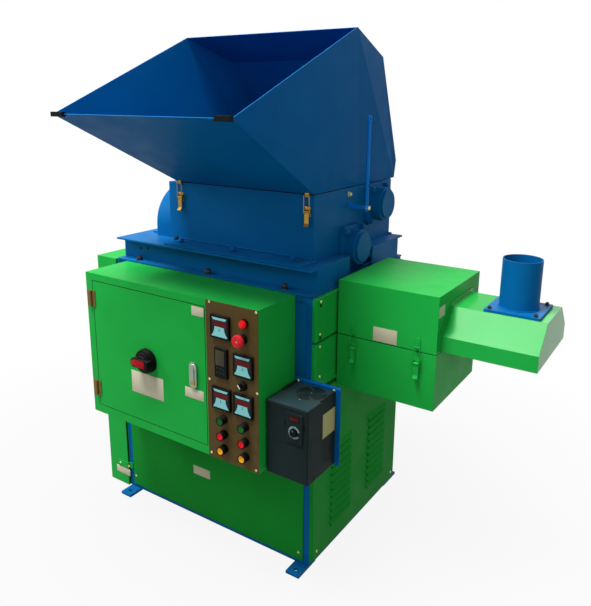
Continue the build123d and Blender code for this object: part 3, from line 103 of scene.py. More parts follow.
class Facing(Enum):
    """Directions in which pieces look or grow."""

    UP = (0.0, 0.0, 1.0)
    FRONT = (0.0, -1.0, 0.0)
    RIGHT = (1.0, 0.0, 0.0)
    LEFT = (-1.0, 0.0, 0.0)
    BACK = (0.0, 1.0, 0.0)
    SLANT = (0.0, -0.5, 1.0)

    @property
    def vector(self) -> Vector:
        """Return the direction with a length of one."""
        return Vector(self.value).normalized()

    @property
    def turn(self) -> Quaternion:
        """Return the turn that brings +Z onto the direction."""
        return self.vector.to_track_quat("Z", "Y")


class Head(Enum):
    """Fastener styles used on the machine."""

    HEX = "hex bolt on a washer"
    PAN = "cross recessed pan head"
    DOME = "domed rivet"


def rgba(screen: Colour) -> tuple[float, ...]:
    """Turn a colour written as 0 to 255 screen values into linear light.

    Args:
        screen: Red, green and blue screen values.

    Returns:
        The colour in linear light with full alpha.
    """
    parts = [value / 255 for value in screen]
    linear = [part / 12.92 if part <= 0.04045 else ((part + 0.055) / 1.055) ** 2.4 for part in parts]
    return (*linear, 1.0)


def corners(node: str) -> tuple[Vector, Vector]:
    """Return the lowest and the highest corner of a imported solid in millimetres."""
    low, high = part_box(node)
    return low / MM, high / MM


def half_turn(
    x: float, y: float, z: float, wide: float, tall: float, start: float, steps: int
) -> list[Point]:
    """Return points over half a turn round a centre, in a plane that looks along Y.

    Args:
        x: Centre along X.
        y: Place of the plane along Y.
        z: Centre along Z.
        wide: Radius along X.
        tall: Radius along Z.
        start: Angle of the first point in degrees.
        steps: How many steps the half turn has.

    Returns:
        The points in order.
    """
    turns = [math.radians(start + 180 * step / steps) for step in range(steps + 1)]
    return [(x + wide * math.cos(turn), y, z + tall * math.sin(turn)) for turn in turns]


class Bench:
    """The modelling bench: primitives, edit mode shaping and applied modifiers."""

    @staticmethod
    def clear() -> None:
        """Deselect everything."""
        bpy.ops.object.select_all(action="DESELECT")

    @staticmethod
    def only(piece: Mesh) -> None:
        """Select one piece and make it the active one."""
        Bench.clear()
        piece.select_set(True)
        bpy.context.view_layer.objects.active = piece

    @staticmethod
    def settle(piece: Mesh, name: str = "part") -> Mesh:
        """Name a piece and move its place, turn and scale into its mesh.

        Args:
            piece: The piece.
            name: Its name and its mesh's name.

        Returns:
            The same piece at the origin.
        """
        Bench.only(piece)
        bpy.ops.object.transform_apply(location=True, rotation=True, scale=True)
        piece.name = name
        piece.data.name = name
        return piece

    @staticmethod
    def modify(piece: Mesh, kind: str, **settings: object) -> None:
        """Add one modifier with its settings and apply it.

        Args:
            piece: The mesh that is changed.
            kind: Blender's name for the modifier.
            settings: Values set on the modifier before it is applied.
        """
        Bench.only(piece)
        modifier = piece.modifiers.new(kind.lower(), kind)
        for key, value in settings.items():
            setattr(modifier, key, value)
        bpy.ops.object.modifier_apply(modifier=modifier.name)

    @staticmethod
    def ease(piece: Mesh, width: float, steps: int = 2) -> Mesh:
        """Round the sharp edges of a piece.

        Args:
            piece: The mesh that is changed.
            width: Width of the rounding; with none the piece stays as it is.
            steps: Facets across the rounding.

        Returns:
            The same piece.
        """
        if width <= 0:
            return piece
        Bench.modify(piece, "BEVEL", width=width * MM, segments=steps, limit_method="ANGLE", angle_limit=0.6)
        return Bench.smooth(piece, 0.7)

    @staticmethod
    def smooth(piece: Mesh, angle: float) -> Mesh:
        """Shade a piece smooth up to an angle in radians.

        Args:
            piece: The mesh that is shaded.
            angle: Steepest edge that is smoothed.

        Returns:
            The same piece.
        """
        Bench.only(piece)
        bpy.ops.object.shade_smooth_by_angle(angle=angle)
        return piece

    @staticmethod
    def cut(piece: Mesh, tool: Mesh) -> None:
        """Cut a tool's shape out of a piece and clear the tool away."""
        Bench.modify(piece, "BOOLEAN", operation="DIFFERENCE", object=tool, solver="EXACT")
        bpy.data.objects.remove(tool)

    @staticmethod
    def moved(piece: Mesh, spot: Matrix) -> Mesh:
        """Move a piece by a matrix and settle it there."""
        piece.matrix_world = spot
        return Bench.settle(piece)

    @staticmethod
    def block(low: Point, high: Point, ease: float = 0.0) -> Mesh:
        """Model a block between two corners.

        Args:
            low: Lowest corner.
            high: Highest corner.
            ease: Rounding of its edges.

        Returns:
            The finished block.
        """
        Bench.clear()
        middle = [(a + b) / 2 * MM for a, b in zip(low, high)]
        bpy.ops.mesh.primitive_cube_add(size=1.0, location=middle)
        piece = bpy.context.object
        piece.scale = [(b - a) * MM for a, b in zip(low, high)]
        return Bench.ease(Bench.settle(piece), ease)

    @staticmethod
    def drum(
        base: Point, axis: Facing, length: float, radius: float, sides: int = 32, ease: float = 0.0
    ) -> Mesh:
        """Model a round bar or disc that grows from a base point.

        Args:
            base: Centre of its first end.
            axis: Direction in which it grows.
            length: Its length.
            radius: Its radius.
            sides: Facets round it.
            ease: Rounding of its rims.

        Returns:
            The finished drum.
        """
        Bench.clear()
        bpy.ops.mesh.primitive_cylinder_add(
            vertices=sides,
            radius=radius * MM,
            depth=length * MM,
            location=(Vector(base) + axis.vector * length / 2) * MM,
            rotation=axis.turn.to_euler(),
        )
        piece = Bench.settle(bpy.context.object)
        if ease > 0:
            return Bench.ease(piece, ease)
        return Bench.smooth(piece, 0.7) if sides > 8 else piece

    @staticmethod
    def hoop(centre: Point, axis: Facing, radius: float, thickness: float, sides: int = 40) -> Mesh:
        """Model a round wire ring about an axis.

        Args:
            centre: Middle of the ring.
            axis: Direction in which the ring looks.
            radius: Radius of the wire's middle line.
            thickness: Radius of the wire.
            sides: Facets round the ring.

        Returns:
            The finished ring.
        """
        Bench.clear()
        bpy.ops.mesh.primitive_torus_add(
            major_radius=radius * MM,
            minor_radius=thickness * MM,
            major_segments=sides,
            minor_segments=10,
            location=Vector(centre) * MM,
            rotation=axis.turn.to_euler(),
        )
        return Bench.smooth(Bench.settle(bpy.context.object), 1.2)

    @staticmethod
    def trace(
        points: Iterable[Point], edges: Sequence[Sequence[int]], faces: Sequence[Sequence[int]]
    ) -> Mesh:
        """Draw points, edges or a face in place of a primitive and select them in edit mode.

        Args:
            points: The points.
            edges: Pairs of point numbers.
            faces: Lists of point numbers.

        Returns:
            The drawn piece, in edit mode.
        """
        Bench.clear()
        bpy.ops.mesh.primitive_plane_add(size=MM)
        piece = bpy.context.object
        piece.data.clear_geometry()
        piece.data.from_pydata([tuple(Vector(point) * MM) for point in points], edges, faces)
        Bench.only(piece)
        bpy.ops.object.mode_set(mode="EDIT")
        bpy.ops.mesh.select_all(action="SELECT")
        return piece

    @staticmethod
    def close(piece: Mesh) -> Mesh:
        """Turn all faces outwards, leave edit mode and settle the piece."""
        bpy.ops.mesh.select_all(action="SELECT")
        bpy.ops.mesh.normals_make_consistent(inside=False)
        bpy.ops.object.mode_set(mode="OBJECT")
        return Bench.settle(piece)

    @staticmethod
    def stand(piece: Mesh, base: Point, axis: Facing) -> Mesh:
        """Set a piece, modelled round its own origin and +Z, on a base.

        Args:
            piece: The piece.
            base: Where its own origin goes.
            axis: Direction in which its own +Z goes.

        Returns:
            The settled piece.
        """
        piece.location = Vector(base) * MM
        piece.rotation_euler = axis.turn.to_euler()
        return Bench.settle(piece)

    @staticmethod
    def lathe(base: Point, axis: Facing, profile: Sequence[Pair]) -> Mesh:
        """Spin a profile about an axis in edit mode.

        Args:
            base: Where the axis starts.
            axis: Direction of the axis.
            profile: Pairs of radius and height, from the lower centre to the upper one.

        Returns:
            The finished turned piece.
        """
        points = [(radius, 0.0, height) for radius, height in profile]
        piece = Bench.trace(points, [(i, i + 1) for i in range(len(points) - 1)], [])
        bpy.ops.mesh.spin(steps=48, angle=math.tau, center=(0, 0, 0), axis=(0, 0, 1))
        bpy.ops.mesh.select_all(action="SELECT")
        bpy.ops.mesh.remove_doubles(threshold=1e-6)
        return Bench.smooth(Bench.stand(Bench.close(piece), base, axis), 0.6)

    @staticmethod
    def arc(centre: Point, axis: Facing, radii: Pair, start: float, sweep: float, lift: float) -> Mesh:
        """Spin a short radial edge into a flat arc and thicken it.

        Args:
            centre: Middle of the arc.
            axis: Direction in which it faces.
            radii: Its inner and outer radius.
            start: Angle of its first end in degrees.
            sweep: Angle that it covers.
            lift: Its thickness.

        Returns:
            The finished arc.
        """
        turn = math.radians(start)
        ends = [(radius * math.cos(turn), radius * math.sin(turn), 0.0) for radius in radii]
        piece = Bench.trace(ends, [(0, 1)], [])
        steps = max(4, int(sweep / 8))
        bpy.ops.mesh.spin(steps=steps, angle=math.radians(sweep), center=(0, 0, 0), axis=(0, 0, 1))
        bpy.ops.mesh.select_all(action="SELECT")
        bpy.ops.mesh.extrude_region_move(TRANSFORM_OT_translate={"value": (0, 0, lift * MM)})
        return Bench.stand(Bench.close(piece), centre, axis)

    @staticmethod
    def sheet(outline: Sequence[Point], lift: float) -> Mesh:
        """Model a flat plate from its outline and thicken it along Y by extruding its face.

        Args:
            outline: Its outline, anticlockwise seen from the side it faces.
            lift: How far it is extruded along Y.

        Returns:
            The finished plate.
        """
        piece = Bench.trace(outline, [], [tuple(range(len(outline)))])
        bpy.ops.mesh.extrude_region_move(TRANSFORM_OT_translate={"value": (0, lift * MM, 0)})
        return Bench.close(piece)

    @staticmethod
    def wire(points: Sequence[Point], radius: float) -> Mesh:
        """Bend a round wire through a few points and turn it into a mesh.

        Args:
            points: Places on the wire's middle line.
            radius: Radius of the wire.

        Returns:
            The finished wire.
        """
        curve = bpy.data.curves.new("wire", "CURVE")
        curve.dimensions = "3D"
        curve.bevel_depth = radius * MM
        curve.bevel_resolution = 3
        curve.use_fill_caps = True
        spline = curve.splines.new("POLY")
        spline.points.add(len(points) - 1)
        for place, point in zip(spline.points, points):
            place.co = (*(Vector(point) * MM), 1.0)
        piece = bpy.data.objects.new("wire", curve)
        bpy.context.scene.collection.objects.link(piece)
        Bench.only(piece)
        bpy.ops.object.convert(target="MESH")
        return Bench.smooth(Bench.settle(bpy.context.object), 0.9)

    @staticmethod
    def inset_face(piece: Mesh, facing: Facing, margin: float, depth: float) -> None:
        """Inset the face that looks one way and push it in.

        Args:
            piece: The mesh that is changed.
            facing: Direction of the face.
            margin: Width of the rim that stays.
            depth: How far the inner face moves along its normal.
        """
        Bench.only(piece)
        mesh = piece.data
        for elements in (mesh.vertices, mesh.edges):
            elements.foreach_set("select", [False] * len(elements))
        for polygon in mesh.polygons:
            polygon.select = polygon.normal.dot(facing.vector) > 0.99
        bpy.ops.object.mode_set(mode="EDIT")
        bpy.ops.mesh.select_mode(type="FACE")
        bpy.ops.mesh.inset(thickness=margin * MM, depth=depth * MM)
        bpy.ops.object.mode_set(mode="OBJECT")

    @staticmethod
    def joined(name: str, members: Sequence[Mesh]) -> Mesh:
        """Join several finished meshes into one piece.

        Args:
            name: Name of the joined piece.
            members: Its meshes; one alone is only named.

        Returns:
            The joined piece.
        """
        Bench.clear()
        for member in members:
            member.select_set(True)
        bpy.context.view_layer.objects.active = members[0]
        if len(members) > 1:
            bpy.ops.object.join()
        return Bench.settle(bpy.context.object, name)

    @staticmethod
    def copies(model: Mesh, spots: Iterable[Matrix]) -> list[Mesh]:
        """Place a copy of a model, each with its own mesh, at every spot.

        Args:
            model: The model, which is cleared away afterwards.
            spots: Where the copies go.

        Returns:
            The settled copies.
        """
        twins = []
        for spot in spots:
            twin = model.copy()
            twin.data = model.data.copy()
            bpy.context.scene.collection.objects.link(twin)
            twins.append(Bench.moved(twin, spot))
        bpy.data.objects.remove(model)
        return twins

    @staticmethod
    def put(name: str, body: str, finish: Finish, *parts: Mesh) -> Mesh:
        """Join finished meshes into one piece and give it its finish, body and slot.

        Args:
            name: Name of the piece.
            body: Body that carries it.
            finish: Its finish.
            parts: The meshes.

        Returns:
            The placed piece.
        """
        piece = Bench.joined(name, parts)
        piece.data.materials.clear()
        piece.data.materials.append(finish.material())
        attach(piece, body)
        LOG.info("%s rides on %s", piece.name, body)
        return piece


class Groups:
    """Shader nodes in short, and the node groups that several finishes share."""

    @staticmethod
    def feed(tree: Tree, node: bpy.types.Node, inputs: dict[str | int, object]) -> None:
        """Fill inputs of a node.

        Args:
            tree: Node tree that holds the node.
            node: The node.
            inputs: Input names or numbers, each with a constant or the socket that feeds it.
        """
        for key, value in inputs.items():
            if isinstance(value, bpy.types.NodeSocket):
                tree.links.new(value, node.inputs[key])
            else:
                node.inputs[key].default_value = value

    @staticmethod
    def add(tree: Tree, kind: str, inputs: dict[str | int, object], **settings: object) -> bpy.types.Node:
        """Add a node, set its options and fill its inputs.

        Args:
            tree: Node tree that takes the node.
            kind: Blender's name for the node.
            inputs: What its inputs get, as in feed.
            settings: Options of the node itself.

        Returns:
            The new node.
        """
        node = tree.nodes.new(kind)
        for key, value in settings.items():
            setattr(node, key, value)
        Groups.feed(tree, node, inputs)
        return node

    @staticmethod
    def math(tree: Tree, action: str, first: object, second: object) -> Socket:
        """Join two numbers or sockets by one step of arithmetic."""
        return Groups.add(tree, "ShaderNodeMath", {0: first, 1: second}, operation=action).outputs["Value"]

    @staticmethod
    def ramp(tree: Tree, value: Socket, spread: Pair, result: Pair = (0.0, 1.0)) -> Socket:
        """Stretch the part of a value between two limits to the limits of the result."""
        names = ("From Min", "From Max", "To Min", "To Max")
        inputs = {"Value": value, **dict(zip(names, (*spread, *result)))}
        return Groups.add(tree, "ShaderNodeMapRange", inputs).outputs["Result"]

    @staticmethod
    def noise(tree: Tree, scale: object, detail: float) -> Socket:
        """Add a noise on Object coordinates.

        Args:
            tree: Node tree that takes it.
            scale: Its scale, a number or a socket.
            detail: How many finer layers it has.

        Returns:
            The noise value.
        """
        place = tree.nodes.new("ShaderNodeTexCoord").outputs["Object"]
        inputs = {"Vector": place, "Scale": scale, "Detail": detail}
        return Groups.add(tree, "ShaderNodeTexNoise", inputs).outputs["Fac"]

    @staticmethod
    def mix(tree: Tree, mask: Socket, first: object, second: Colour) -> Socket:
        """Mix a colour or a socket with a second screen colour through a mask."""
        inputs = {"Factor": mask, "A": first, "B": rgba(second)}
        return Groups.add(tree, "ShaderNodeMix", inputs, data_type="RGBA").outputs["Result"]

    @staticmethod
    def use(tree: Tree, group: Tree, inputs: dict[str | int, object]) -> bpy.types.NodeOutputs:
        """Place a shared group with its own values and return its outputs."""
        return Groups.add(tree, "ShaderNodeGroup", inputs, node_tree=group).outputs

    @staticmethod
    def open(
        name: str, takes: dict[str, float], gives: dict[str, str]
    ) -> tuple[Tree, bpy.types.NodeOutputs]:
        """Make an empty group with named sockets.

        Args:
            name: Name of the group.
            takes: Input names and their starting values.
            gives: Output names and their kinds.

        Returns:
            The group and the outputs of its input node.
        """
        tree = bpy.data.node_groups.new(name, "ShaderNodeTree")
        for key, value in takes.items():
            socket = tree.interface.new_socket(name=key, in_out="INPUT", socket_type="NodeSocketFloat")
            socket.default_value = value
        for key, kind in gives.items():
            tree.interface.new_socket(name=key, in_out="OUTPUT", socket_type=f"NodeSocket{kind}")
        return tree, tree.nodes.new("NodeGroupInput").outputs

    @staticmethod
    @cache
    def edge_wear_and_highlight() -> Tree:
        """Build the group that finds the edges which take the edge colour, as abrasion and as painted
        highlight, with a normal softened over them.

        Returns:
            The group.
        """
        takes = {"Radius": 0.0015, "Amount": 0.5, "Scale": 60.0}
        tree, start = Groups.open("EdgeWearAndHighlight", takes, {"Mask": "Float", "Normal": "Vector"})
        bevel = Groups.add(tree, "ShaderNodeBevel", {"Radius": start["Radius"]}, samples=4).outputs["Normal"]
        true = tree.nodes.new("ShaderNodeNewGeometry").outputs["Normal"]
        dot = Groups.add(tree, "ShaderNodeVectorMath", {0: bevel, 1: true}, operation="DOT_PRODUCT")
        edge = Groups.ramp(tree, Groups.math(tree, "SUBTRACT", 1.0, dot.outputs["Value"]), (0.015, 0.12))
        broken = Groups.ramp(tree, Groups.noise(tree, start["Scale"], 5.0), (0.42, 0.62))
        mask = Groups.math(tree, "MULTIPLY", Groups.math(tree, "MULTIPLY", edge, broken), start["Amount"])
        Groups.add(tree, "NodeGroupOutput", {"Mask": mask, "Normal": bevel})
        return tree

    @staticmethod
    @cache
    def grain() -> Tree:
        """Build the group that gives a fine surface relief and a slow change of tone.

        Returns:
            The group.
        """
        gives = {"Height": "Float", "Tone": "Float", "Smudge": "Float"}
        tree, start = Groups.open("Grain", {"Fine": 450.0, "Broad": 4.0}, gives)
        height = Groups.noise(tree, start["Fine"], 2.0)
        tone = Groups.ramp(tree, Groups.noise(tree, start["Broad"], 4.0), (0.3, 0.7))
        patch = Groups.math(tree, "MULTIPLY", start["Broad"], 3.7)
        smudge = Groups.ramp(tree, Groups.noise(tree, patch, 6.0), (0.35, 0.75))
        Groups.add(tree, "NodeGroupOutput", {"Height": height, "Tone": tone, "Smudge": smudge})
        return tree

    @staticmethod
    @cache
    def dust() -> Tree:
        """Build the group that lays workshop dust on faces that look up.

        Returns:
            The group.
        """
        tree, start = Groups.open("Dust", {"Amount": 0.2, "Scale": 14.0}, {"Mask": "Float"})
        true = tree.nodes.new("ShaderNodeNewGeometry").outputs["True Normal"]
        parts = Groups.add(tree, "ShaderNodeSeparateXYZ", {"Vector": true})
        upward = Groups.ramp(tree, parts.outputs["Z"], (0.5, 1.0))
        patchy = Groups.ramp(tree, Groups.noise(tree, start["Scale"], 6.0), (0.35, 0.7))
        mask = Groups.math(tree, "MULTIPLY", Groups.math(tree, "MULTIPLY", upward, patchy), start["Amount"])
        Groups.add(tree, "NodeGroupOutput", {"Mask": mask})
        return tree

    @staticmethod
    @cache
    def brushing() -> Tree:
        """Build the group that draws rolling lines along a sheet.

        Returns:
            The group.
        """
        tree, start = Groups.open("Brushing", {"Scale": 30.0, "Stretch": 0.03}, {"Height": "Float"})
        place = tree.nodes.new("ShaderNodeTexCoord").outputs["Object"]
        along = Groups.math(tree, "MULTIPLY", start["Scale"], start["Stretch"])
        sizes = {"X": start["Scale"], "Y": start["Scale"], "Z": along}
        joined = Groups.add(tree, "ShaderNodeCombineXYZ", sizes).outputs["Vector"]
        scaled = Groups.add(tree, "ShaderNodeVectorMath", {0: place, 1: joined}, operation="MULTIPLY")
        inputs = {"Vector": scaled.outputs["Vector"], "Scale": 12.0, "Detail": 4.0}
        lines = Groups.add(tree, "ShaderNodeTexNoise", inputs)
        Groups.add(tree, "NodeGroupOutput", {"Height": lines.outputs["Fac"]})
        return tree


@dataclass(frozen=True)
class Finish:
    """One surface finish: its name, the record's slot, its colours and its numbers."""

    name: str
    slot: str
    colour: Colour
    second: Colour
    # Colour laid on the edges: abrasion on most finishes, and a painted highlight where it is lighter than
    # the paint
    worn_and_lit_edge: Colour
    roughness: float = 0.35
    rougher: float = 0.12
    metallic: float = 0.0
    relief: float = 0.04
    fine: float = 450.0
    soften: float = 0.0015
    wear_and_highlight: float = 0.5
    dust: float = 0.0
    brushed: bool = False
    shine: float = 0.4
    glow: float = 0.0

    @cache
    def material(self) -> bpy.types.Material:
        """Build the material at the first call, and hand out the same one after that.

        Returns:
            The Blender material with its own numbers in the shared groups.
        """
        material = bpy.data.materials.new(self.name)
        material.use_nodes = True
        tree = material.node_tree
        shader = tree.nodes["Principled BSDF"]
        grain = Groups.use(tree, Groups.grain(), {"Fine": self.fine})
        edge = Groups.use(tree, Groups.edge_wear_and_highlight(), {"Radius": self.soften, "Amount": self.wear_and_highlight})
        colour = Groups.mix(tree, grain["Tone"], rgba(self.colour), self.second)
        # The edge colour paints abrasion and, where it is lighter than the paint, a highlight along the edges
        if self.wear_and_highlight > 0:
            colour = Groups.mix(tree, edge["Mask"], colour, self.worn_and_lit_edge)
        if self.dust > 0:
            dust = Groups.use(tree, Groups.dust(), {"Amount": self.dust})
            colour = Groups.mix(tree, dust["Mask"], colour, DUST_COLOUR)
        limits = (self.roughness, min(1.0, self.roughness + self.rougher))
        height = Groups.use(tree, Groups.brushing(), {})["Height"] if self.brushed else grain["Height"]
        inputs = {"Strength": self.relief, "Distance": MM, "Height": height, "Normal": edge["Normal"]}
        inputs = {
            "Base Color": colour,
            "Roughness": Groups.ramp(tree, grain["Smudge"], (0.0, 1.0), limits),
            "Metallic": self.metallic,
            "Specular IOR Level": self.shine,
            "Normal": Groups.add(tree, "ShaderNodeBump", inputs).outputs["Normal"],
        }
        if self.glow > 0:
            inputs |= {"Emission Color": rgba(self.colour), "Emission Strength": self.glow}
        Groups.feed(tree, shader, inputs)
        return material


# Numbers that several finishes share
ENAMEL = {"roughness": 0.42, "dust": 0.02}
CAP = {"roughness": 0.34, "relief": 0.03, "soften": 0.0006, "wear_and_highlight": 0.2}
METAL = {"relief": 0.05, "soften": 0.0006, "wear_and_highlight": 0.4}
FILM = {"soften": 0.0003, "wear_and_highlight": 0.0, "shine": 0.15}
PRINT = {"roughness": 0.4, "soften": 0.0003, "wear_and_highlight": 0.1}
BLANK = {"roughness": 0.5, "shine": 0.15, "relief": 0.03, "soften": 0.0003, "wear_and_highlight": 0.3}

DUST_COLOUR = (176, 172, 160)
# The lighter edge colours of the blue and green enamels paint highlights along edges as well as abrasion
BLUE = Finish(
    "blue_enamel", "blue_paint", (2, 96, 156), (3, 104, 168), (14, 130, 210), shine=0.05, **ENAMEL
)
BLUE_INSIDE = Finish(
    "blue_enamel_worn", "blue_paint", (2, 94, 158), (3, 102, 170), (14, 130, 210), shine=0.025, **ENAMEL
)
# A lighter copy of the blue enamel that paints the highlight on the stay rod and along the bracket's top edge
BLUE_PAINTED_HIGHLIGHT = Finish(
    "blue_enamel_painted_highlight", "blue_paint", (6, 124, 224), (8, 130, 232), (30, 150, 240),
    roughness=0.42, shine=0.1,
)
GREEN = Finish(
    "green_enamel", "green_paint", (26, 164, 62), (30, 174, 70), (70, 210, 104),
    roughness=0.4, dust=0.02, shine=0.06,
)
# A darker copy of the green enamel that paints the shade on the front panel and the louvred tray
GREEN_ENAMEL_SHADED = Finish(
    "green_enamel_painted_shade", "green_paint", (22, 142, 46), (24, 150, 50), (60, 190, 90), shine=0.03, **ENAMEL
)
# Near-black green that paints the shade which the louvre scoops cast on the tray
GREEN_PAINTED_SHADE = Finish(
    "green_painted_shade", "green_paint", (6, 44, 18), (8, 50, 22), (20, 80, 36),
    roughness=0.6, shine=0.02, wear_and_highlight=0.1,
)
GREEN_GLOSS = Finish(
    "green_enamel_gloss", "green_paint", (26, 164, 62), (30, 174, 70), (70, 210, 104),
    roughness=0.16, rougher=0.05, dust=0.02, shine=0.07,
)
BRASS = Finish(
    "hinge_brass", "green_paint", (134, 104, 48), (104, 84, 40), (176, 136, 84),
    roughness=0.45, metallic=0.4, relief=0.05, fine=900.0, soften=0.0006, wear_and_highlight=0.5,
)
SHEET = Finish(
    "olive_sheet", "control_sheet", (80, 64, 32), (88, 72, 38), (130, 118, 70),
    roughness=0.55, shine=0.12, relief=0.06, brushed=True, wear_and_highlight=0.3,
)
BLACK = Finish(
    "black_moulding", "black_plastic", (6, 7, 7), (10, 11, 11), (34, 36, 36),
    shine=0.07, roughness=0.42, relief=0.08, fine=1500.0, soften=0.0006, wear_and_highlight=0.25, dust=0.06,
)
CHARCOAL = Finish(
    "charcoal_moulding", "charcoal_plastic", (20, 32, 32), (26, 40, 40), (56, 84, 84),
    shine=0.06, roughness=0.52, relief=0.12, fine=1800.0, soften=0.001, wear_and_highlight=0.2, dust=0.08,
)
# A lighter copy of the charcoal moulding that paints the light falling on the inverter's top
CHARCOAL_PAINTED_LIGHT = Finish(
    "charcoal_painted_top_light", "charcoal_plastic", (44, 66, 72), (50, 72, 78), (80, 104, 106),
    shine=0.08, roughness=0.5, relief=0.1, fine=1800.0, soften=0.0006, wear_and_highlight=0.2, dust=0.05,
)
RUBBER = Finish(
    "rubber", "rubber_trim", (10, 11, 12), (14, 15, 16), (40, 40, 42),
    shine=0.08, roughness=0.7, relief=0.1, fine=1200.0, soften=0.0008, wear_and_highlight=0.1, dust=0.12,
)
RED = Finish(
    "red_moulding", "red_plastic", (226, 14, 20), (234, 20, 24), (240, 70, 64),
    roughness=0.34, relief=0.03, soften=0.0008, wear_and_highlight=0.25, shine=0.1,
)
LENS = Finish(
    "red_lens", "red_plastic", (226, 6, 12), (234, 12, 16), (255, 120, 110),
    roughness=0.25, relief=0.02, soften=0.0008, wear_and_highlight=0.0, shine=0.15, glow=0.2,
)
STOP_RED = Finish(
    "stop_red", "red_plastic", (206, 32, 46), (214, 40, 52), (234, 120, 124),
    roughness=0.36, relief=0.03, soften=0.0008, wear_and_highlight=0.2, shine=0.12,
)
INSERT_RED = Finish(
    "insert_red", "red_plastic", (160, 10, 18), (172, 16, 24), (206, 80, 80),
    roughness=0.34, relief=0.02, soften=0.0005, wear_and_highlight=0.2, shine=0.1,
)
DARK_RED = Finish(
    "dark_red", "red_plastic", (70, 6, 10), (80, 10, 12), (120, 40, 40),
    roughness=0.34, relief=0.02, soften=0.0004, wear_and_highlight=0.1, shine=0.1,
)
GREEN_CAP = Finish(
    "green_cap", "green_plastic", (10, 88, 28), (14, 98, 34), (40, 130, 60), shine=0.08, **CAP
)
AMBER_CAP = Finish(
    "amber_cap", "yellow_plastic", (248, 164, 14), (252, 176, 20), (252, 206, 90), shine=0.1, **CAP
)
ZINC = Finish(
    "yellow_zinc", "zinc", (186, 148, 70), (140, 106, 44), (226, 204, 140),
    roughness=0.38, metallic=0.85, relief=0.05, fine=900.0, soften=0.0005, wear_and_highlight=0.4,
)
PALE_ZINC = Finish(
    "pale_zinc", "zinc", (206, 206, 150), (180, 178, 124), (232, 228, 200),
    roughness=0.34, metallic=0.75, fine=900.0, soften=0.0004, wear_and_highlight=0.3,
)
LATCH_METAL = Finish(
    "latch_metal", "chrome_parts", (150, 166, 150), (132, 146, 130), (214, 220, 212),
    roughness=0.26, metallic=0.85, relief=0.02, soften=0.0008, wear_and_highlight=0.3,
)
CHROME = Finish(
    "chrome", "chrome_parts", (222, 224, 228), (212, 214, 220), (240, 240, 242),
    roughness=0.12, rougher=0.08, metallic=1.0, relief=0.01, soften=0.0006, wear_and_highlight=0.1,
)
STEEL = Finish(
    "machined_steel", "steel", (150, 152, 156), (132, 132, 136), (196, 196, 198),
    roughness=0.36, metallic=0.9, fine=700.0, **METAL,
)
DARK_STEEL = Finish(
    "blackened_steel", "steel", (46, 48, 52), (56, 58, 62), (120, 120, 122),
    roughness=0.42, metallic=0.7, fine=700.0, **METAL,
)
CREAM = Finish("cream_plate", "zinc", (206, 202, 176), (198, 192, 162), (176, 168, 132), **BLANK)
TAN = Finish("tan_plate", "zinc", (188, 184, 126), (178, 174, 116), (130, 126, 86), **BLANK)
CYAN = Finish(
    "meter_window", "green_plastic", (138, 214, 214), (128, 204, 206), (160, 226, 226),
    roughness=0.12, relief=0.01, **FILM,
)
TEAL = Finish(
    "meter_dark", "black_plastic", (4, 26, 32), (6, 32, 38), (30, 60, 66), roughness=0.2, relief=0.02, **FILM
)
MAROON = Finish(
    "meter_band", "red_plastic", (84, 2, 4), (94, 4, 6), (120, 30, 30), roughness=0.3, relief=0.02, **FILM
)
BROWN = Finish(
    "display_window", "black_plastic", (58, 56, 34), (66, 62, 40), (84, 76, 50),
    roughness=0.14, relief=0.01, **FILM,
)
WHITE = Finish(
    "white_line", "charcoal_plastic", (232, 234, 232), (238, 240, 238), (220, 220, 218),
    shine=0.1, relief=0.02, **PRINT,
)
GREY = Finish(
    "grey_print", "charcoal_plastic", (118, 144, 144), (128, 154, 154), (210, 210, 210), relief=0.03, **PRINT
)

FINISH_NODES: dict[Finish, str] = {
    BLUE: "frame_posts frame_rails floor_feet pedestal_frame deck_plate shredder_housing gear_guard "
    "flange_bearings hopper_hinge_fixed hopper_hinge_straps vent_pipe",
    BLUE_INSIDE: "inverter_bracket hopper",
    # The stay rod takes the lighter blue that paints its highlight
    BLUE_PAINTED_HIGHLIGHT: "stay_rod",
    GREEN: "rear_panel left_panel right_trays drive_guard guard_tab cabinet cabinet_door heater_base "
    "heater_lid toggle_die_box_left toggle_die_box_right lid_strikes",
    # The front panel and the louvred tray take the darker green that paints their shade
    GREEN_ENAMEL_SHADED: "front_panel louvre_tray",
    GREEN_GLOSS: "die_hood",
    BRASS: "door_hinges hinge_leaves",
    SHEET: "control_plate",
    BLACK: "isolator_base isolator_handle panel_meters temperature_controller control_collars "
    "selector_knob inverter_dial",
    CHARCOAL: "inverter_case inverter_keypad",
    RUBBER: "hopper_trim",
    LATCH_METAL: "door_latch",
    LENS: "pilot_lamp",
    STOP_RED: "emergency_stop",
    GREEN_CAP: "button_start_left button_start_right",
    RED: "button_stop_left button_stop_right",
    AMBER_CAP: "button_reset_left button_reset_right",
    STEEL: "rotors",
    ZINC: "toggle_plates toggle_hopper_left toggle_hopper_right hopper_strikes",
}

# Films of a meter: name, layer, finish and outline as X and Z from its middle
METER_FILMS = (
    ("face", 0, TEAL, ((-32.8, -32.8), (32.8, -32.8), (32.8, 32.8), (-32.8, 32.8))),
    ("strip", 1, CYAN, ((-23, 22), (24, 22), (28, 31), (-30, 31))),
    ("band", 1, MAROON, ((-25, 1.5), (28, 1.5), (28, 19), (-25, 19))),
    (
        "window", 1, CYAN,
        ((-32, -31), (32.4, -31), (24, -20), (19.5, -9), (18, 1), (-18, 1), (-19.5, -9), (-24, -20)),
    ),
    ("pointer", 2, TEAL, ((-0.5, -9), (0.5, -9), (0.5, -2), (-0.5, -2))),
)


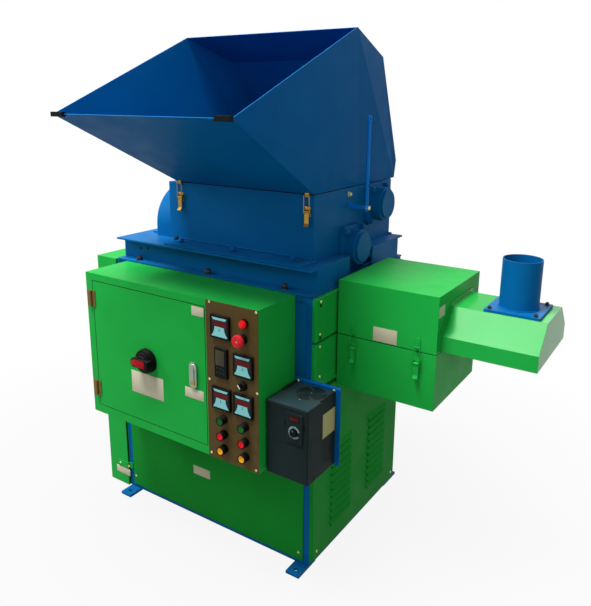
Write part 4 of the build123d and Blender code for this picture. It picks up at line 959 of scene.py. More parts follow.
@dataclass
class Fasteners:
    """Bolts and screws, each style modelled once and copied to its spots."""

    washer_share: float = 1.1
    head_share: float = 0.6
    spin_step: float = 17.0

    def model(self, head: Head, across: float) -> Mesh:
        """Model one fastener that stands on the origin and looks up.

        Args:
            head: Style of its head.
            across: Width of its head.

        Returns:
            The model, ready for copying.
        """
        half = across / 2
        origin = (0, 0, 0)
        if head is Head.HEX:
            lift = across * 0.12
            washer = Bench.drum(origin, Facing.UP, lift, half * self.washer_share * 1.25, 28, lift * 0.3)
            nut = Bench.drum((0, 0, lift), Facing.UP, across * self.head_share, half * 1.155, 6)
            Bench.ease(nut, across * 0.05)
            tip = Bench.drum((0, 0, lift), Facing.UP, across * (self.head_share + 0.18), half * 0.55, 16)
            return Bench.joined("bolt", [washer, nut, tip])
        rim = 0.18 if head is Head.PAN else 0.1
        shares = ((0, 0), (1, 0), (1, rim), (0.86, rim + 0.24), (0.55, rim + 0.42), (0, rim + 0.5))
        dome = Bench.lathe(origin, Facing.UP, [(half * a, half * b) for a, b in shares])
        if head is Head.PAN:
            for wide, deep in ((half * 0.62, half * 0.11), (half * 0.11, half * 0.62)):
                Bench.cut(dome, Bench.block((-wide, -deep, half * (rim + 0.12)), (wide, deep, across)))
        return dome

    def fit(
        self,
        name: str,
        spots: Iterable[Point],
        facing: Facing,
        across: float,
        finish: Finish = PALE_ZINC,
        head: Head = Head.PAN,
        body: str = "machine",
        spin: float = 0.0,
    ) -> None:
        """Set the same fastener on several spots that look one way.

        Args:
            name: Name of the joined piece.
            spots: Places of the fasteners.
            facing: Direction in which they look.
            across: Width of a head.
            finish: Their finish.
            head: Style of their heads.
            body: Body that carries them.
            spin: Turn of the first about its own axis in degrees; each next one turns a step more.
        """
        places = []
        for count, spot in enumerate(spots):
            own = Matrix.Rotation(math.radians(spin + count * self.spin_step), 4, "Z")
            places.append(Matrix.Translation(Vector(spot) * MM) @ facing.turn.to_matrix().to_4x4() @ own)
        twins = Bench.copies(self.model(head, across), places)
        Bench.put(name, body, finish, *twins)


@dataclass
class Assembly:
    """What every sub-assembly shares: its fasteners and ways to place its pieces."""

    fasteners: Fasteners

    put = staticmethod(Bench.put)

    def plate(self, name: str, body: str, finish: Finish, low: Point, high: Point, ease: float = 0.2) -> None:
        """Place an eased block between two corners."""
        self.put(name, body, finish, Bench.block(low, high, ease))

    def label(self, name: str, body: str, face: float, area: Area) -> None:
        """Fix a blank cream plate, given as X and Z limits, on a face that looks to the front."""
        x0, x1, z0, z1 = area
        self.plate(name, body, CREAM, (x0, face - LABEL_THICK, z0), (x1, face, z1))

    def bezel(self, name: str, finish: Finish, low: Point, high: Point, sizes: tuple[float, ...]) -> None:
        """Place a block whose front is hollowed inside a rim.

        Args:
            name: Name of the piece.
            finish: Its finish.
            low: Lowest corner.
            high: Highest corner.
            sizes: Rounding of its edges, width of the rim and depth of the hollow.
        """
        ease, margin, depth = sizes
        rim = Bench.block(low, high, ease)
        Bench.inset_face(rim, Facing.FRONT, margin, -depth)
        self.put(name, "machine", finish, rim)


@dataclass(frozen=True)
class Round:
    """A round solid that looks to the front: centre of its foot, radius and depth."""

    foot: Vector
    radius: float
    deep: float

    @classmethod
    def of(cls, node: str, across: int = 0) -> Round:
        """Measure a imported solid.

        Args:
            node: Name of the solid.
            across: Axis along which its radius is taken, 0 for X and 2 for Z.

        Returns:
            Its measures.
        """
        low, high = corners(node)
        foot = Vector(((low.x + high.x) / 2, high.y, (low.z + high.z) / 2))
        return cls(foot, (high[across] - low[across]) / 2, high.y - low.y)

    def spun(self, shares: Sequence[Pair], radius: float = 0.0) -> Mesh:
        """Spin a profile given as shares of the radius, or of another one, and of the depth."""
        profile = [(across * (radius or self.radius), height * self.deep) for across, height in shares]
        return Bench.lathe(self.foot, Facing.FRONT, profile)


@dataclass
class Stand(Assembly):
    """Frame, panels, trays and drive guard with their screws and blank plates."""

    front_area: Area = (-79, 1, 188, 223)
    guard_area: Area = (-501, -423, 52, 83)
    screw: float = 9.5
    front_screws: tuple[Pair, ...] = ((-394, 62), (390, 51), (-394, 420), (392, 420))
    tab_height: float = 99.5
    post_heights: Pair = (696.2, 941)
    tray_screws: tuple[Pair, ...] = (
        (-292, 946), (-294, 841), (-293, 800), (-293, 700), (286, 946), (286, 841), (286, 800), (286, 700)
    )
    slot_drop: float = 12.0
    slot_radius: float = 5.6
    sink: float = 2.4
    louvre_out: float = 8.0
    louvre_low: float = 115.0
    louvre_pitch: float = 28.0
    louvre_count: int = 11
    louvre_half: float = 66.0
    louvre_spread: float = 135.0

    def build(self) -> None:
        """Make the screws and blank plates of the stand."""
        face = corners("front_panel")[0].y
        spots = [(x, face, z) for x, z in self.front_screws]
        self.fasteners.fit("panel_screws", spots, Facing.FRONT, self.screw)
        self.label("front_plate", "machine", face, self.front_area)
        self.label("guard_plate", "machine", corners("drive_guard")[0].y, self.guard_area)
        tab = corners("guard_tab")[0].y
        for name, x in (("guard_screw", -473), ("tab_screw", -424)):
            self.fasteners.fit(name, [(x, tab, self.tab_height)], Facing.FRONT, self.screw)
        right = corners("front_panel")[1].x
        over = corners("cabinet")[1].x
        low, high = self.post_heights
        post = (over + 1, face - 1.4, low), (right + 0.8, face + 3.2, high)
        self.plate("post_face", "machine", BLUE, *post, 0.4)
        self.trays()
        self.louvres()
        self.back()

    def trays(self) -> None:
        """Make the screws of the upper right trays and the black discs that paint the shade in the slots
        under the first two.
        """
        face = corners("right_trays")[1].x
        spots = [(face, y, z) for y, z in self.tray_screws]
        self.fasteners.fit("tray_screws", spots, Facing.RIGHT, self.screw)
        # Black discs paint the shade inside the slots
        slots = [
            Bench.drum((face - 0.3, y, z - self.slot_drop), Facing.RIGHT, 0.6, self.slot_radius, 18)
            for y, z in self.tray_screws[:2]
        ]
        self.put("tray_slot_shades", "machine", BLACK, *slots)

    def louvres(self) -> None:
        """Make the screws of the louvred tray and the dark strips that paint the shade under its scoops."""
        low, high = corners("louvre_tray")
        face = high.x - self.louvre_out
        spots = [(face, y, z) for y in (-292, 286) for z in (620, 62)]
        self.fasteners.fit("louvre_tray_screws", spots, Facing.RIGHT, self.screw)
        middle = (low.y + high.y) / 2
        # Each strip paints the shade that a scoop casts on the tray face below it
        shade_strips = []
        for column in (middle - self.louvre_spread, middle + self.louvre_spread):
            y0, y1 = column - self.louvre_half, column + self.louvre_half
            for row in range(self.louvre_count):
                z = self.louvre_low + self.louvre_pitch * row
                shade_strips.append(Bench.block((face - 0.5, y0, z - 12), (face + 0.4, y1, z - 6), 0.2))
        self.put("louvre_painted_shade", "machine", GREEN_PAINTED_SHADE, *shade_strips)

    def back(self) -> None:
        """Make the screws of the rear panel and, a little sunk, of the drive guard's side."""
        face = corners("rear_panel")[1].y
        spots = [(x, face, z) for x in (-390, 0, 390) for z in (48, 480, 916)]
        self.fasteners.fit("rear_panel_screws", spots, Facing.BACK, self.screw)
        side = corners("drive_guard")[0].x + self.sink
        spots = [(side, y, z) for y in (-300, 290) for z in (40, 480, 930)]
        self.fasteners.fit("guard_side_screws", spots, Facing.LEFT, self.screw)


@dataclass
class Deck(Assembly):
    """Pedestal, deck, shredder housing, bearings and gear guard."""

    bolt: float = 19.0
    lip_bolt: float = 14.0
    bearing_bolt: float = 20.0
    bearing_half: float = 57.0
    bearings_at: tuple[Pair, ...] = ((0, 1061), (179, 1186))
    web_hole_shades: tuple[Pair, ...] = ((-337, 1009), (-303, 1013))
    weld_radius: float = 2.6
    weld_step: float = 9.0
    gasket_wide: float = 9.0
    gasket_thick: float = 2.6

    def build(self) -> None:
        """Make the bolts of the deck and what stands on it."""
        fit = self.fasteners.fit
        low = corners("pedestal_frame")[0]
        spots = [(x, low.y + 19, low.z + 6) for x in (-326, 2, 318)]
        fit("pedestal_bolts", spots, Facing.UP, self.bolt, DARK_STEEL, Head.HEX)
        deck = corners("deck_plate")[1].z
        spots = [(x, -270, deck + 8) for x in (-149, 85, 325)]
        fit("lip_bolts", spots, Facing.UP, self.lip_bolt, BLUE, Head.HEX, spin=10)
        fit("deck_bolt", [(-216, -226, deck)], Facing.UP, self.lip_bolt, DARK_STEEL, Head.HEX)
        fit("guard_foot_bolt", [(-354, -154, deck + 4)], Facing.UP, self.lip_bolt, BLUE, Head.HEX)
        web = low.y + 38.4
        # Black discs paint the shade inside the web's two openings
        hole_shades = [Bench.drum((x, web, z), Facing.FRONT, 0.6, 5, 20) for x, z in self.web_hole_shades]
        self.put("web_hole_shades", "machine", BLACK, *hole_shades)
        low, high = (HOUSE_RIGHT - 4, -82, 966), (HOUSE_RIGHT - 1, 82, 1042)
        self.plate("bearing_web", "machine", BLUE, low, high, 0.4)
        self.bearings()
        self.seams()

    def bearings(self) -> None:
        """Make the bolts and grease nipples of the two flange bearings."""
        plate = corners("flange_bearings")[0].x + 16
        sides = (-self.bearing_half, self.bearing_half)
        nipples = []
        for count, (y, z) in enumerate(self.bearings_at):
            spots = [(plate, y + a, z + b) for a in sides for b in sides]
            name = f"bearing_bolts_{count}"
            self.fasteners.fit(name, spots, Facing.RIGHT, self.bearing_bolt, BLUE, Head.HEX, spin=20)
            nipples.append(Bench.lathe((plate + 18, y, z + 50), Facing.SLANT, GREASE_NIPPLE))
        self.put("grease_nipples", "machine", ZINC, *nipples)

    def seams(self) -> None:
        """Lay the weld bead along the housing's foot and the gasket under the hopper."""
        base = corners("deck_plate")[1].z + 9
        low, high = corners("shredder_housing")
        shake = random.Random(7)
        bead = []
        for index in range(int((high.x - low.x) / self.weld_step)):
            y = HOUSE_FRONT - 1 + shake.uniform(-0.6, 0.6)
            bead.append((low.x + 4 + index * self.weld_step, y, base + shake.uniform(-0.7, 0.7)))
        self.put("foot_weld", "machine", BLUE, Bench.wire(bead, self.weld_radius))
        wide = self.gasket_wide
        x0, x1 = low.x + 1, HOUSE_RIGHT - 1
        y0, y1 = HOUSE_FRONT + 1, high.y - 9
        bars = [
            Bench.block((*start, high.z), (*end, high.z + self.gasket_thick), 0.4)
            for start, end in (
                ((x0, y0), (x1, y0 + wide)),
                ((x0, y1 - wide), (x1, y1)),
                ((x0, y0), (x0 + wide, y1)),
                ((x1 - wide, y0), (x1, y1)),
            )
        ]
        self.put("hopper_gasket", "machine", RUBBER, *bars)


@dataclass
class Latches(Assembly):
    """Plates, wire loops and rivets of the four draw latches and the stay rod's bolts."""

    wire: float = 1.3
    half: float = 10.0
    plate_half: float = 11.0
    ear: float = 1.6
    pin_down: float = 4.5
    pin_back: float = 2.2
    rises: ClassVar[dict[str, float]] = {"hopper": 4, "lid": 6}
    walls: ClassVar[dict[str, Pair]] = {"hopper": (HOUSE_FRONT, 1191), "lid": (LATCH_BOX_FRONT, 765)}

    def build(self) -> None:
        """Make both pairs of draw latches and the bolts of the stay rod."""
        for make in (self.loop, self.latch):
            for side in ("left", "right"):
                make("hopper", f"hopper_{side}", side, ZINC)
            for side in ("left", "right"):
                make("lid", f"die_box_{side}", side, GREEN)
        face = corners("lid_strikes")[0].y
        rivets = [(x, face, z) for x in (511, 727) for z in (852, 840)]
        self.fasteners.fit("lid_strike_rivets", rivets, Facing.FRONT, 5, GREEN, Head.DOME, "die_lid")
        low, high = corners("stay_rod")
        spots = [(high.x - 6, (low.y + high.y) / 2, 1198)]
        self.fasteners.fit("stay_rod_nut", spots, Facing.RIGHT, 13, head=Head.HEX)
        self.fasteners.fit("stay_lug_bolt", [(HOUSE_RIGHT, -6, 1238)], Facing.RIGHT, 12, head=Head.HEX)

    def loop(self, stem: str, lever: str, side: str, finish: Finish) -> None:
        """Bend one wire loop from its lever up to its strike.

        Args:
            stem: First word of the piece's name and of the strikes' node.
            lever: Last words of the lever's node.
            side: Left or right.
            finish: Its finish.
        """
        low, high = corners(f"toggle_{lever}")
        strike = corners(f"{stem}_strikes")[0]
        middle = (low.x + high.x) / 2
        front = strike.y - self.wire - 0.8
        bottom, top = high.z - 6, strike.z + self.rises[stem]
        climb = ((-1.6, 2, bottom), (0, 0, bottom + 3), (0, 0, top - 2), (-2, 0, top))
        points = [(middle - self.half - a, front + y, z) for a, y, z in climb]
        points += [(middle + self.half + a, front + y, z) for a, y, z in reversed(climb)]
        self.put(f"{stem}_loop_{side}", "machine", finish, Bench.wire(points, self.wire))

    def latch(self, stem: str, lever: str, side: str, finish: Finish) -> None:
        """Model one latch plate with its ears and pin.

        Args:
            stem: First word of the piece's name.
            lever: Last words of the lever's node.
            side: Left or right.
            finish: Its finish.
        """
        low, high = corners(f"toggle_{lever}")
        wall, foot = self.walls[stem]
        middle, half = (low.x + high.x) / 2, self.plate_half
        pin = high.z - self.pin_down
        axis = (low.y + high.y) / 2 + self.pin_back
        parts = [Bench.block((middle - half, wall - 1.6, foot), (middle + half, wall, foot + 32), 0.4)]
        for x in (middle - half, middle + half - self.ear):
            parts.append(Bench.block((x, axis - 3.6, pin - 7), (x + self.ear, wall - 1, pin + 9), 0.4))
        parts.append(Bench.drum((middle - half - 0.6, axis, pin), Facing.RIGHT, 23.2, 1.9, 16, 0.3))
        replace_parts(self.put(f"{stem}_latch_{side}", "machine", finish, *parts), "toggle_plates")


@dataclass
class Door(Assembly):
    """Cabinet door: blank plates, isolator grip and the latch's lock."""

    big: Area = (-172, -23, 571, 650)
    small: Area = (75, 153, 620, 654)
    square: Area = (113, 161, 901, 931)
    disc_radius: float = 40.0
    gap_wide: float = 2.4
    grip_height: float = 34.0
    slit: tuple[float, float, float] = (0.7, 5.0, 4.0)

    def build(self) -> None:
        """Make the plates and dress the isolator and the latch."""
        face = corners("cabinet_door")[0].y
        for name, area in (("big", self.big), ("small", self.small), ("square", self.square)):
            self.label(f"door_plate_{name}", "door", face, area)
        self.gap()
        self.isolator()
        self.latch()

    def gap(self) -> None:
        """Lay the dark sealing strip that shows in the gap round the door."""
        low, high = corners("cabinet_door")
        wide = self.gap_wide
        near = low.y - 0.1
        bars = [
            Bench.block((x0 + 0.2, near, z0 + 0.2), (x1 - 0.2, near + 1.4, z1 - 0.2), 0.2)
            for x0, x1, z0, z1 in (
                (low.x - wide, high.x + wide, high.z, high.z + wide),
                (low.x - wide, high.x + wide, low.z - wide, low.z),
                (low.x - wide, low.x, low.z, high.z),
                (high.x, high.x + wide, low.z, high.z),
            )
        ]
        self.put("door_gap_seal", "machine", BLACK, *bars)

    def isolator(self) -> None:
        """Model the isolator's disc, its stepped dial with the grip, and the red insert."""
        disc = self.put("isolator_disc", "door", BLACK, Round.of("isolator_base").spun(DISC))
        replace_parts(disc, "isolator_base")
        low, high = corners("isolator_handle")
        handle = Round.of("isolator_handle")
        x, z = handle.foot.x, handle.foot.z
        half = self.grip_height / 2
        back = high.y - handle.deep * 0.1
        outline = half_turn(low.x + half * 0.9, back, z, half, half, 90, 12)
        outline += [(high.x, back, z - half * 0.8), (high.x, back, z + half * 0.8)]
        grip = Bench.ease(Bench.sheet(outline, low.y - back), 2.4, 3)
        dial = handle.spun(DIAL, self.disc_radius)
        shell = self.put("isolator_handle_shell", "isolator", BLACK, dial, grip)
        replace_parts(shell, "isolator_handle")
        inner = half * 0.74
        outline = half_turn(low.x + half * 0.95, low.y, z, inner, inner, 90, 8)
        outline += half_turn(x + 20, low.y, z, inner * 0.5, inner, -90, 4)
        self.put("isolator_insert", "isolator", INSERT_RED, Bench.ease(Bench.sheet(outline, -0.6), 0.25))

    def latch(self) -> None:
        """Model the latch's slotted lock cylinder and the ring of its upper pivot."""
        low, high = corners("door_latch")
        x, y, z = (low.x + high.x) / 2, low.y + 4, low.z + 17
        cylinder = Bench.lathe((x, y, z), Facing.FRONT, LOCK_PROFILE)
        wide, deep, tall = self.slit
        Bench.cut(cylinder, Bench.block((x - wide, y - 3 - deep, z - tall), (x + wide, y - 3, z + tall)))
        self.put("latch_lock", "door", ZINC, cylinder)
        self.put("latch_pivot", "door", CHROME, Bench.hoop((x, y, high.z - 15), Facing.FRONT, 8, 1.3))


@dataclass
class Instruments(Assembly):
    """Control plate: screws, meter faces, controller, lamp, stop button and selector."""

    screws: tuple[Pair, ...] = ((187, 957), (362, 956), (181, 706), (364, 706), (182, 455), (358, 451))
    meters: tuple[Pair, ...] = ((231, 887), (316, 782), (231, 655), (315, 655))
    meter_half: float = 36.0
    selector_tilt: float = -36.0
    rim_outer: float = 14.3
    rim_inner: float = 11.6
    film: float = 0.35

    def build(self) -> None:
        """Dress everything that sits on the control plate."""
        plate = corners("control_plate")[0].y
        self.fasteners.fit("plate_screws", [(x, plate, z) for x, z in self.screws], Facing.FRONT, 9)
        face = corners("panel_meters")[0].y
        for count, (x, z) in enumerate(self.meters):
            self.meter(count, x, face, z)
        self.controller()
        self.lamp()
        self.stop()
        self.selector()
        self.caps()

    def meter(self, count: int, x: float, y: float, z: float) -> None:
        """Model one meter: bezel rim, dark face, scale strip, band, window and pointer.

        Args:
            count: Number of the meter, for its names.
            x: Middle of the meter along X.
            y: Its front along Y.
            z: Its middle along Z.
        """
        half = self.meter_half
        low, high = (x - half, y, z - half), (x + half, y + 3, z + half)
        self.bezel(f"meter_rim_{count}", BLACK, low, high, (1.2, 3, 0.8))
        face = y + 0.9
        for part, layer, finish, outline in METER_FILMS:
            front = face - layer * self.film
            if part == "pointer":
                cap = Bench.drum((x, front, z - 10), Facing.FRONT, 0.5, 1.6, 16)
                self.put(f"meter_cap_{count}", "machine", TEAL, cap)
            film = Bench.sheet([(x + a, front, z + b) for a, b in outline], -self.film)
            self.put(f"meter_{part}_{count}", "machine", finish, film)

    def controller(self) -> None:
        """Model the controller's rim, display, keys and the row of lamps."""
        low, high = corners("temperature_controller")
        y = low.y
        rim = (low.x, y - 0.2, low.z), (high.x, y + 3, high.z)
        self.bezel("controller_rim", BLACK, *rim, (1.2, 3, 1.0))
        display = (low.x + 5, y - 0.5, low.z + 40), (high.x - 9, y + 0.9, high.z - 7)
        self.plate("controller_display", "machine", BROWN, *display, 0.1)
        keys = []
        for z in (low.z + 12, low.z + 25):
            for x in (low.x + 7, low.x + 19, low.x + 31):
                keys.append(Bench.block((x, y - 0.8, z), (x + 9, y + 1, z + 8), 0.8))
        self.put("controller_keys", "machine", CHARCOAL, *keys)
        spots = [(high.x - 5.5, y + 0.9, low.z + 44 + step * 9) for step in range(5)]
        self.fasteners.fit("controller_lamps", spots, Facing.FRONT, 2.6, CHARCOAL, Head.DOME)

    def lamp(self) -> None:
        """Model the pilot lamp's lens and the dark ring round it."""
        lamp = Round.of("pilot_lamp")
        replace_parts(self.put("lamp_lens", "machine", LENS, lamp.spun(LAMP_LENS)), "pilot_lamp")
        centre = lamp.foot - Vector((0, 2.2, 0))
        ring = Bench.hoop(centre, Facing.FRONT, lamp.radius + 0.6, 1.4)
        self.put("lamp_ring", "machine", DARK_RED, ring)

    def stop(self) -> None:
        """Model the mushroom head of the stop button with its ring and centre."""
        button = Round.of("emergency_stop")
        wide, deep = button.radius, button.deep
        profile = (
            (0, 0), (10.8, 0), (10.8, deep - 13), (wide * 0.93, deep - 12.6), (wide, deep - 11),
            (wide, deep - 5), (wide * 0.96, deep - 2.4), (wide * 0.86, deep - 0.8),
            (wide * 0.74, deep - 0.3), (wide * 0.7, deep - 1.2), (wide * 0.64, deep - 1.2),
            (wide * 0.6, deep - 0.3), (wide * 0.28, deep), (wide * 0.24, deep - 0.8), (0, deep - 0.8),
        )
        head = self.put(
            "stop_head", "stop_button", STOP_RED, Bench.lathe(button.foot, Facing.FRONT, profile)
        )
        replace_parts(head, "emergency_stop")
        cap = button.foot - Vector((0, deep - 0.9, 0))
        self.put("stop_centre", "stop_button", ZINC, Bench.lathe(cap, Facing.FRONT, STOP_CENTRE))

    def selector(self) -> None:
        """Model the selector's drum and its tilted grip with the white index line."""
        knob = Round.of("selector_knob")
        radius, deep = knob.radius, knob.deep
        tilt = Matrix.Rotation(math.radians(self.selector_tilt), 4, "Y")
        spot = Matrix.Translation(knob.foot * MM) @ tilt
        wide, tall = radius * 0.34, radius * 0.96
        bar = Bench.moved(Bench.block((-wide, -deep, -tall), (wide, -deep * 0.3, tall), 1.2), spot)
        shell = self.put("selector_shell", "selector", BLACK, knob.spun(SELECTOR_DRUM), bar)
        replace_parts(shell, "selector_knob")
        line = Bench.block((-1.7, -deep - 0.4, -radius * 0.3), (1.7, -deep + 0.6, radius * 0.94), 0.3)
        self.put("selector_line", "selector", WHITE, Bench.moved(line, spot))

    def caps(self) -> None:
        """Model the six button heads and the black rim that stands round each."""
        outer, inner = self.rim_outer, self.rim_inner
        rims = []
        for kind, finish in (("start", GREEN_CAP), ("stop", RED), ("reset", AMBER_CAP)):
            for name in (f"{kind}_left", f"{kind}_right"):
                button = Round.of(f"button_{name}", across=2)
                wide, deep, foot = button.radius, button.deep, button.foot
                profile = (
                    (0, 0), (wide, 0), (wide, deep - 1.6), (wide * 0.93, deep - 0.3), (wide * 0.86, deep),
                    (wide * 0.8, deep - 0.4), (0, deep - 0.6),
                )
                head = self.put(f"{name}_head", name, finish, Bench.lathe(foot, Facing.FRONT, profile))
                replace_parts(head, f"button_{name}")
                rise = COLLAR_FRONT - foot.y + deep
                ring = (
                    (inner, 0), (outer, 0), (outer, rise - 0.8), (outer - 0.6, rise), (inner + 0.5, rise),
                    (inner, rise - 0.5), (inner, 0),
                )
                rims.append(Bench.lathe((foot.x, COLLAR_FRONT, foot.z), Facing.FRONT, ring))
        self.put("button_rims", "machine", BLACK, *rims)


@dataclass
class Inverter(Assembly):
    """Inverter: keypad face, dial ring, fan grille, lugs, blank plate and screws."""

    dial_ring: Pair = (14.0, 20.0)
    dial_arcs: tuple[Pair, ...] = ((100, 55), (165, 70), (245, 70), (325, 70), (45, 30))
    lugs: tuple[tuple[str, Area], ...] = (("left", (377, 385, -403, -328)), ("right", (516, 523, -408, -328)))
    grille_centre: Pair = (466, -375)
    grille_radii: tuple[float, ...] = (12, 20, 28, 36, 44)
    grille_half: float = 2.3

    def build(self) -> None:
        """Dress the inverter's keypad, top and right side."""
        low, high = corners("inverter_case")
        self.keypad(low.y)
        top, side = high.z, high.x
        # The lid plate takes the lighter charcoal that paints the light on the top
        lid = (low.x + 3, low.y + 4, top - 1), (high.x - 3, high.y - 1, top + 0.4)
        self.plate("inverter_lid_painted_light", "machine", CHARCOAL_PAINTED_LIGHT, *lid, 0.3)
        self.grille(top + 0.4)
        for name, (x0, x1, y0, y1) in self.lugs:
            self.plate(f"inverter_lug_{name}", "machine", CHARCOAL, (x0, y0, top), (x1, y1, top + 5), 1.2)
        self.plate("inverter_slot", "machine", BLACK, (400, -377, top - 0.2), (404, -351, top + 0.25), 0.1)
        low, high = corners("inverter_bracket")
        spots = [(386, low.y, top + 4), (516, low.y, top + 4)]
        self.fasteners.fit("inverter_screws", spots, Facing.FRONT, 10)
        # A strip of lighter blue paints the highlight along the bracket's top edge
        edge = (low.x, low.y - 0.6, high.z - 8), (high.x, low.y, high.z)
        self.plate("bracket_edge_painted_highlight", "machine", BLUE_PAINTED_HIGHLIGHT, *edge)
        self.plate("inverter_plate", "machine", TAN, (side, -401, 557), (side + LABEL_THICK, -330, 636))
        self.plate("inverter_clip", "machine", BLACK, (side - 1, -450, 444), (side + 0.8, -434, 454), 0.3)
        ribs = [
            Bench.block((side - 0.4, -395, z), (side + 0.5, -340, z + 3), 0.3) for z in range(470, 551, 9)
        ]
        self.put("inverter_side_slots", "machine", BLACK, *ribs)

    def keypad(self, case: float) -> None:
        """Model the keypad's rim, display, ring of marks, knob and the black blocks that paint the shade in
        the finger recesses.

        Args:
            case: Front of the case along Y.
        """
        low, high = corners("inverter_keypad")
        y = low.y
        rim = (low.x, y - 0.2, low.z), (high.x, y + 3, high.z)
        self.bezel("keypad_rim", CHARCOAL, *rim, (1.5, 2.5, 0.8))
        middle = (low.x + high.x) / 2
        display = (middle - 20, y - 0.4, 637), (middle + 19, y + 0.8, 655)
        self.plate("keypad_display", "machine", BLACK, *display, 0.3)
        digits = (middle - 17, y - 0.7, 640), (middle + 16, y, 652)
        self.plate("keypad_digits", "machine", DARK_RED, *digits, 0.1)
        knob = Round.of("inverter_dial")
        x, back, z = knob.foot
        arcs = [
            Bench.arc((x, y + 0.5, z), Facing.FRONT, self.dial_ring, start, sweep, 1.0)
            for start, sweep in self.dial_arcs
        ]
        self.put("dial_marks", "machine", GREY, *arcs)
        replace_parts(self.put("speed_knob", "speed_dial", BLACK, knob.spun(SPEED_KNOB)), "inverter_dial")
        front = back - knob.deep
        start, end = z + knob.radius * 0.45, z + knob.radius * 0.86
        mark = (x - 0.8, front - 0.2, start), (x + 0.8, front + 1.2, end)
        self.plate("speed_mark", "speed_dial", GREY, *mark)
        # Black blocks paint the shade in the finger recesses beside the keypad
        nook_shades = [
            Bench.block((x, case - 0.4, 612), (x + 5, case + 1, 636), 0.5) for x in (low.x - 8, high.x + 3)
        ]
        self.put("keypad_nook_shades", "machine", BLACK, *nook_shades)
        seam = Bench.wire([(375.5, case, 560), (522.5, case, 560)], 0.5)
        self.put("case_seam", "machine", BLACK, seam)

    def grille(self, top: float) -> None:
        """Lay the concentric slots of the fan on the inverter's top.

        Args:
            top: Height of the lid.
        """
        x, y = self.grille_centre
        centre = (x, y, top - 0.2)
        slots = []
        for count, radius in enumerate(self.grille_radii):
            radii = (radius - self.grille_half, radius + self.grille_half)
            for quarter in range(4):
                slots.append(Bench.arc(centre, Facing.UP, radii, quarter * 90 + 8 + count * 5, 76, 0.6))
        slots.append(Bench.drum(centre, Facing.UP, 0.8, 6, 24, 0.2))
        self.put("fan_grille", "machine", BLACK, *slots)
        self.fasteners.fit("fan_screws", [(x - 8, y - 54, top), (x, y, top + 0.6)], Facing.UP, 4)


@dataclass
class DieBox(Assembly):
    """Die box, hood and vent: blank plates, bolts and hoops."""

    front_area: Area = (578, 658, 821, 867)
    side_area: Area = (-196, -150, 931, 964)
    vent_bolts: tuple[Pair, ...] = ((896, -82), (1028, -82), (1028, 52), (896, 52))

    def build(self) -> None:
        """Make the plates and bolts of the die box and its hood."""
        low, high = corners("heater_lid")
        self.label("die_plate_front", "die_lid", low.y, self.front_area)
        side = high.x
        self.fasteners.fit("lid_side_bolt", [(side, -178, 846)], Facing.RIGHT, 9, body="die_lid")
        y0, y1, z0, z1 = self.side_area
        self.plate("die_plate_side", "die_lid", CREAM, (side, y0, z0), (side + LABEL_THICK, y1, z1))
        low, high = corners("vent_pipe")
        flange = low.z + 8
        spots = [(x, y, flange) for x, y in self.vent_bolts]
        self.fasteners.fit("vent_bolts", spots, Facing.UP, 10, DARK_STEEL, Head.HEX, "die_lid", 8)
        x, y = (low.x + high.x) / 2, (low.y + high.y) / 2
        for name, z, radius, thickness in (
            ("vent_rim", high.z - 1.2, 55.5, 1.4), ("vent_weld", flange + 1.2, 57.8, 2.0)
        ):
            hoop = Bench.hoop((x, y, z), Facing.UP, radius, thickness, 64)
            self.put(name, "die_lid", BLUE, hoop)


@dataclass
class Hopper(Assembly):
    """Hopper: the bolts of its rear hinges."""

    def build(self) -> None:
        """Make the fasteners of the hinge straps."""
        back = corners("hopper_hinge_straps")[1].y - 8
        spots = [(x, back, 1283) for x in (-87, 261)]
        self.fasteners.fit("strap_bolts", spots, Facing.BACK, 10, BLUE, Head.DOME, "hopper_top")


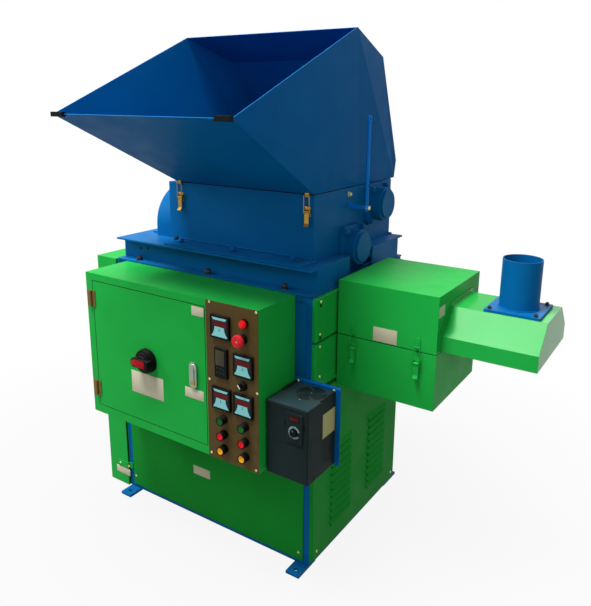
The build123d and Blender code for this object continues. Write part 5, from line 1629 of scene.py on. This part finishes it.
@dataclass
class Studio:
    """Camera, lamps, background and floor, in metres."""

    place: tuple[float, float, float] = (1.4079, -1.9024, 1.5438)
    yaw: float = 33.65
    pitch: float = 13.82
    roll: float = 0.39
    focal_px: float = 642.0
    centre_px: Pair = (291.9, 258.2)
    image_px: Pair = (591.0, 606.0)
    sensor: float = 36.0
    floor_size: float = 14.0
    floor_grey: float = 0.28
    world_light: float = 0.14
    lamps: tuple[tuple[str, Point, Point, float, float], ...] = (
        ("key", (-0.5, -1.9, 5.6), (0.1, 0.0, 0.8), 1.8, 380.0),
        ("fill", (3.4, -2.8, 2.4), (0.3, 0.0, 0.8), 2.5, 34.0),
        ("left", (-3.2, -2.2, 2.9), (0.0, -0.2, 1.1), 1.6, 62.0),
        ("back", (1.0, 3.8, 3.4), (0.1, 0.0, 1.0), 2.5, 60.0),
    )

    def camera(self) -> None:
        """Set the scene's camera where the photograph was taken."""
        width, height = self.image_px
        data = bpy.data.cameras.new("camera")
        data.sensor_fit = "HORIZONTAL"
        data.sensor_width = self.sensor
        data.lens = self.focal_px * self.sensor / width
        data.shift_x = (width / 2 - self.centre_px[0]) / width
        data.shift_y = (self.centre_px[1] - height / 2) / width
        data.clip_start = 0.05
        data.clip_end = 60.0
        eye = bpy.data.objects.new("camera", data)
        bpy.context.scene.collection.objects.link(eye)
        yaw, pitch, roll = (math.radians(value) for value in (self.yaw, self.pitch, self.roll))
        level = math.cos(pitch)
        forward = Vector((-math.sin(yaw) * level, math.cos(yaw) * level, -math.sin(pitch)))
        right = forward.cross(Vector((0, 0, 1))).normalized()
        up = right.cross(forward)
        turned_right = right * math.cos(roll) + up * math.sin(roll)
        turned_up = up * math.cos(roll) - right * math.sin(roll)
        turn = Matrix((turned_right, turned_up, -forward)).transposed()
        eye.matrix_world = Matrix.Translation(Vector(self.place)) @ turn.to_4x4()
        bpy.context.scene.camera = eye

    def lamp(self, name: str, spot: Point, aim: Point, size: float, power: float) -> None:
        """Hang a square area lamp that looks at a point.

        Args:
            name: Name of the lamp.
            spot: Where it hangs.
            aim: The point that it looks at.
            size: Length of its side.
            power: Its power in watts.
        """
        data = bpy.data.lights.new(name, "AREA")
        data.size = size
        data.energy = power
        lamp = bpy.data.objects.new(name, data)
        lamp.location = spot
        lamp.rotation_euler = (Vector(aim) - Vector(spot)).to_track_quat("-Z", "Y").to_euler()
        bpy.context.scene.collection.objects.link(lamp)

    def world(self) -> None:
        """Make the even background: white to the eye and in reflections, softer as light."""
        world = bpy.data.worlds.new("studio")
        bpy.context.scene.world = world
        world.use_nodes = True
        tree = world.node_tree
        path = tree.nodes.new("ShaderNodeLightPath").outputs
        seen = Groups.math(tree, "MAXIMUM", path["Is Camera Ray"], path["Is Glossy Ray"])
        seen = Groups.math(tree, "MAXIMUM", seen, path["Is Transmission Ray"])
        strength = Groups.ramp(tree, seen, (0.0, 1.0), (self.world_light, 1.0))
        Groups.feed(tree, tree.nodes["Background"], {"Color": rgba((255, 255, 255)), "Strength": strength})

    def floor(self) -> None:
        """Lay the pale floor, which fades into the background away from the machine."""
        Bench.clear()
        bpy.ops.mesh.primitive_plane_add(size=self.floor_size)
        floor = Bench.settle(bpy.context.object, "studio_floor")
        material = bpy.data.materials.new("studio_floor")
        material.use_nodes = True
        tree = material.node_tree
        shader = tree.nodes["Principled BSDF"]
        grey = (self.floor_grey, self.floor_grey, self.floor_grey, 1.0)
        Groups.feed(tree, shader, {"Base Color": grey, "Roughness": 0.9, "Specular IOR Level": 0.0})
        white = Groups.add(tree, "ShaderNodeEmission", {"Color": rgba((255, 255, 255))})
        place = tree.nodes.new("ShaderNodeTexCoord").outputs["Object"]
        length = Groups.add(tree, "ShaderNodeVectorMath", {0: place}, operation="LENGTH")
        far = Groups.ramp(tree, length.outputs["Value"], (0.5, 2.0), (0.9, 1.0))
        path = tree.nodes.new("ShaderNodeLightPath").outputs
        seen = Groups.math(tree, "MAXIMUM", path["Is Camera Ray"], path["Is Glossy Ray"])
        share = Groups.math(tree, "MULTIPLY", far, seen)
        inputs = {"Fac": share, 1: shader.outputs["BSDF"], 2: white.outputs["Emission"]}
        mixed = Groups.add(tree, "ShaderNodeMixShader", inputs).outputs["Shader"]
        Groups.feed(tree, tree.nodes["Material Output"], {"Surface": mixed})
        floor.data.materials.append(material)

    def build(self) -> None:
        """Set up everything that is not part of the machine."""
        self.camera()
        self.world()
        self.floor()
        for lamp in self.lamps:
            self.lamp(*lamp)
        bpy.context.scene.view_settings.view_transform = "Standard"


def dress_nodes(nodes: dict[str, Mesh]) -> None:
    """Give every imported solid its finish.

    Args:
        nodes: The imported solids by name.
    """
    for finish, names in FINISH_NODES.items():
        for name in names.split():
            node = nodes[name]
            if not node.material_slots:
                node.data.materials.append(finish.material())
            for slot in node.material_slots:
                slot.material = finish.material()


def main() -> None:
    """Build the whole scene in order."""
    logging.basicConfig(level=logging.INFO, format="%(name)s: %(message)s")
    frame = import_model()
    Studio().build()
    dress_nodes(frame["nodes"])
    fasteners = Fasteners()
    for part in (Stand, Deck, Latches, Door, Instruments, Inverter, DieBox, Hopper):
        LOG.info("building %s", part.__name__)
        part(fasteners).build()


if __name__ == "__main__":
    main()
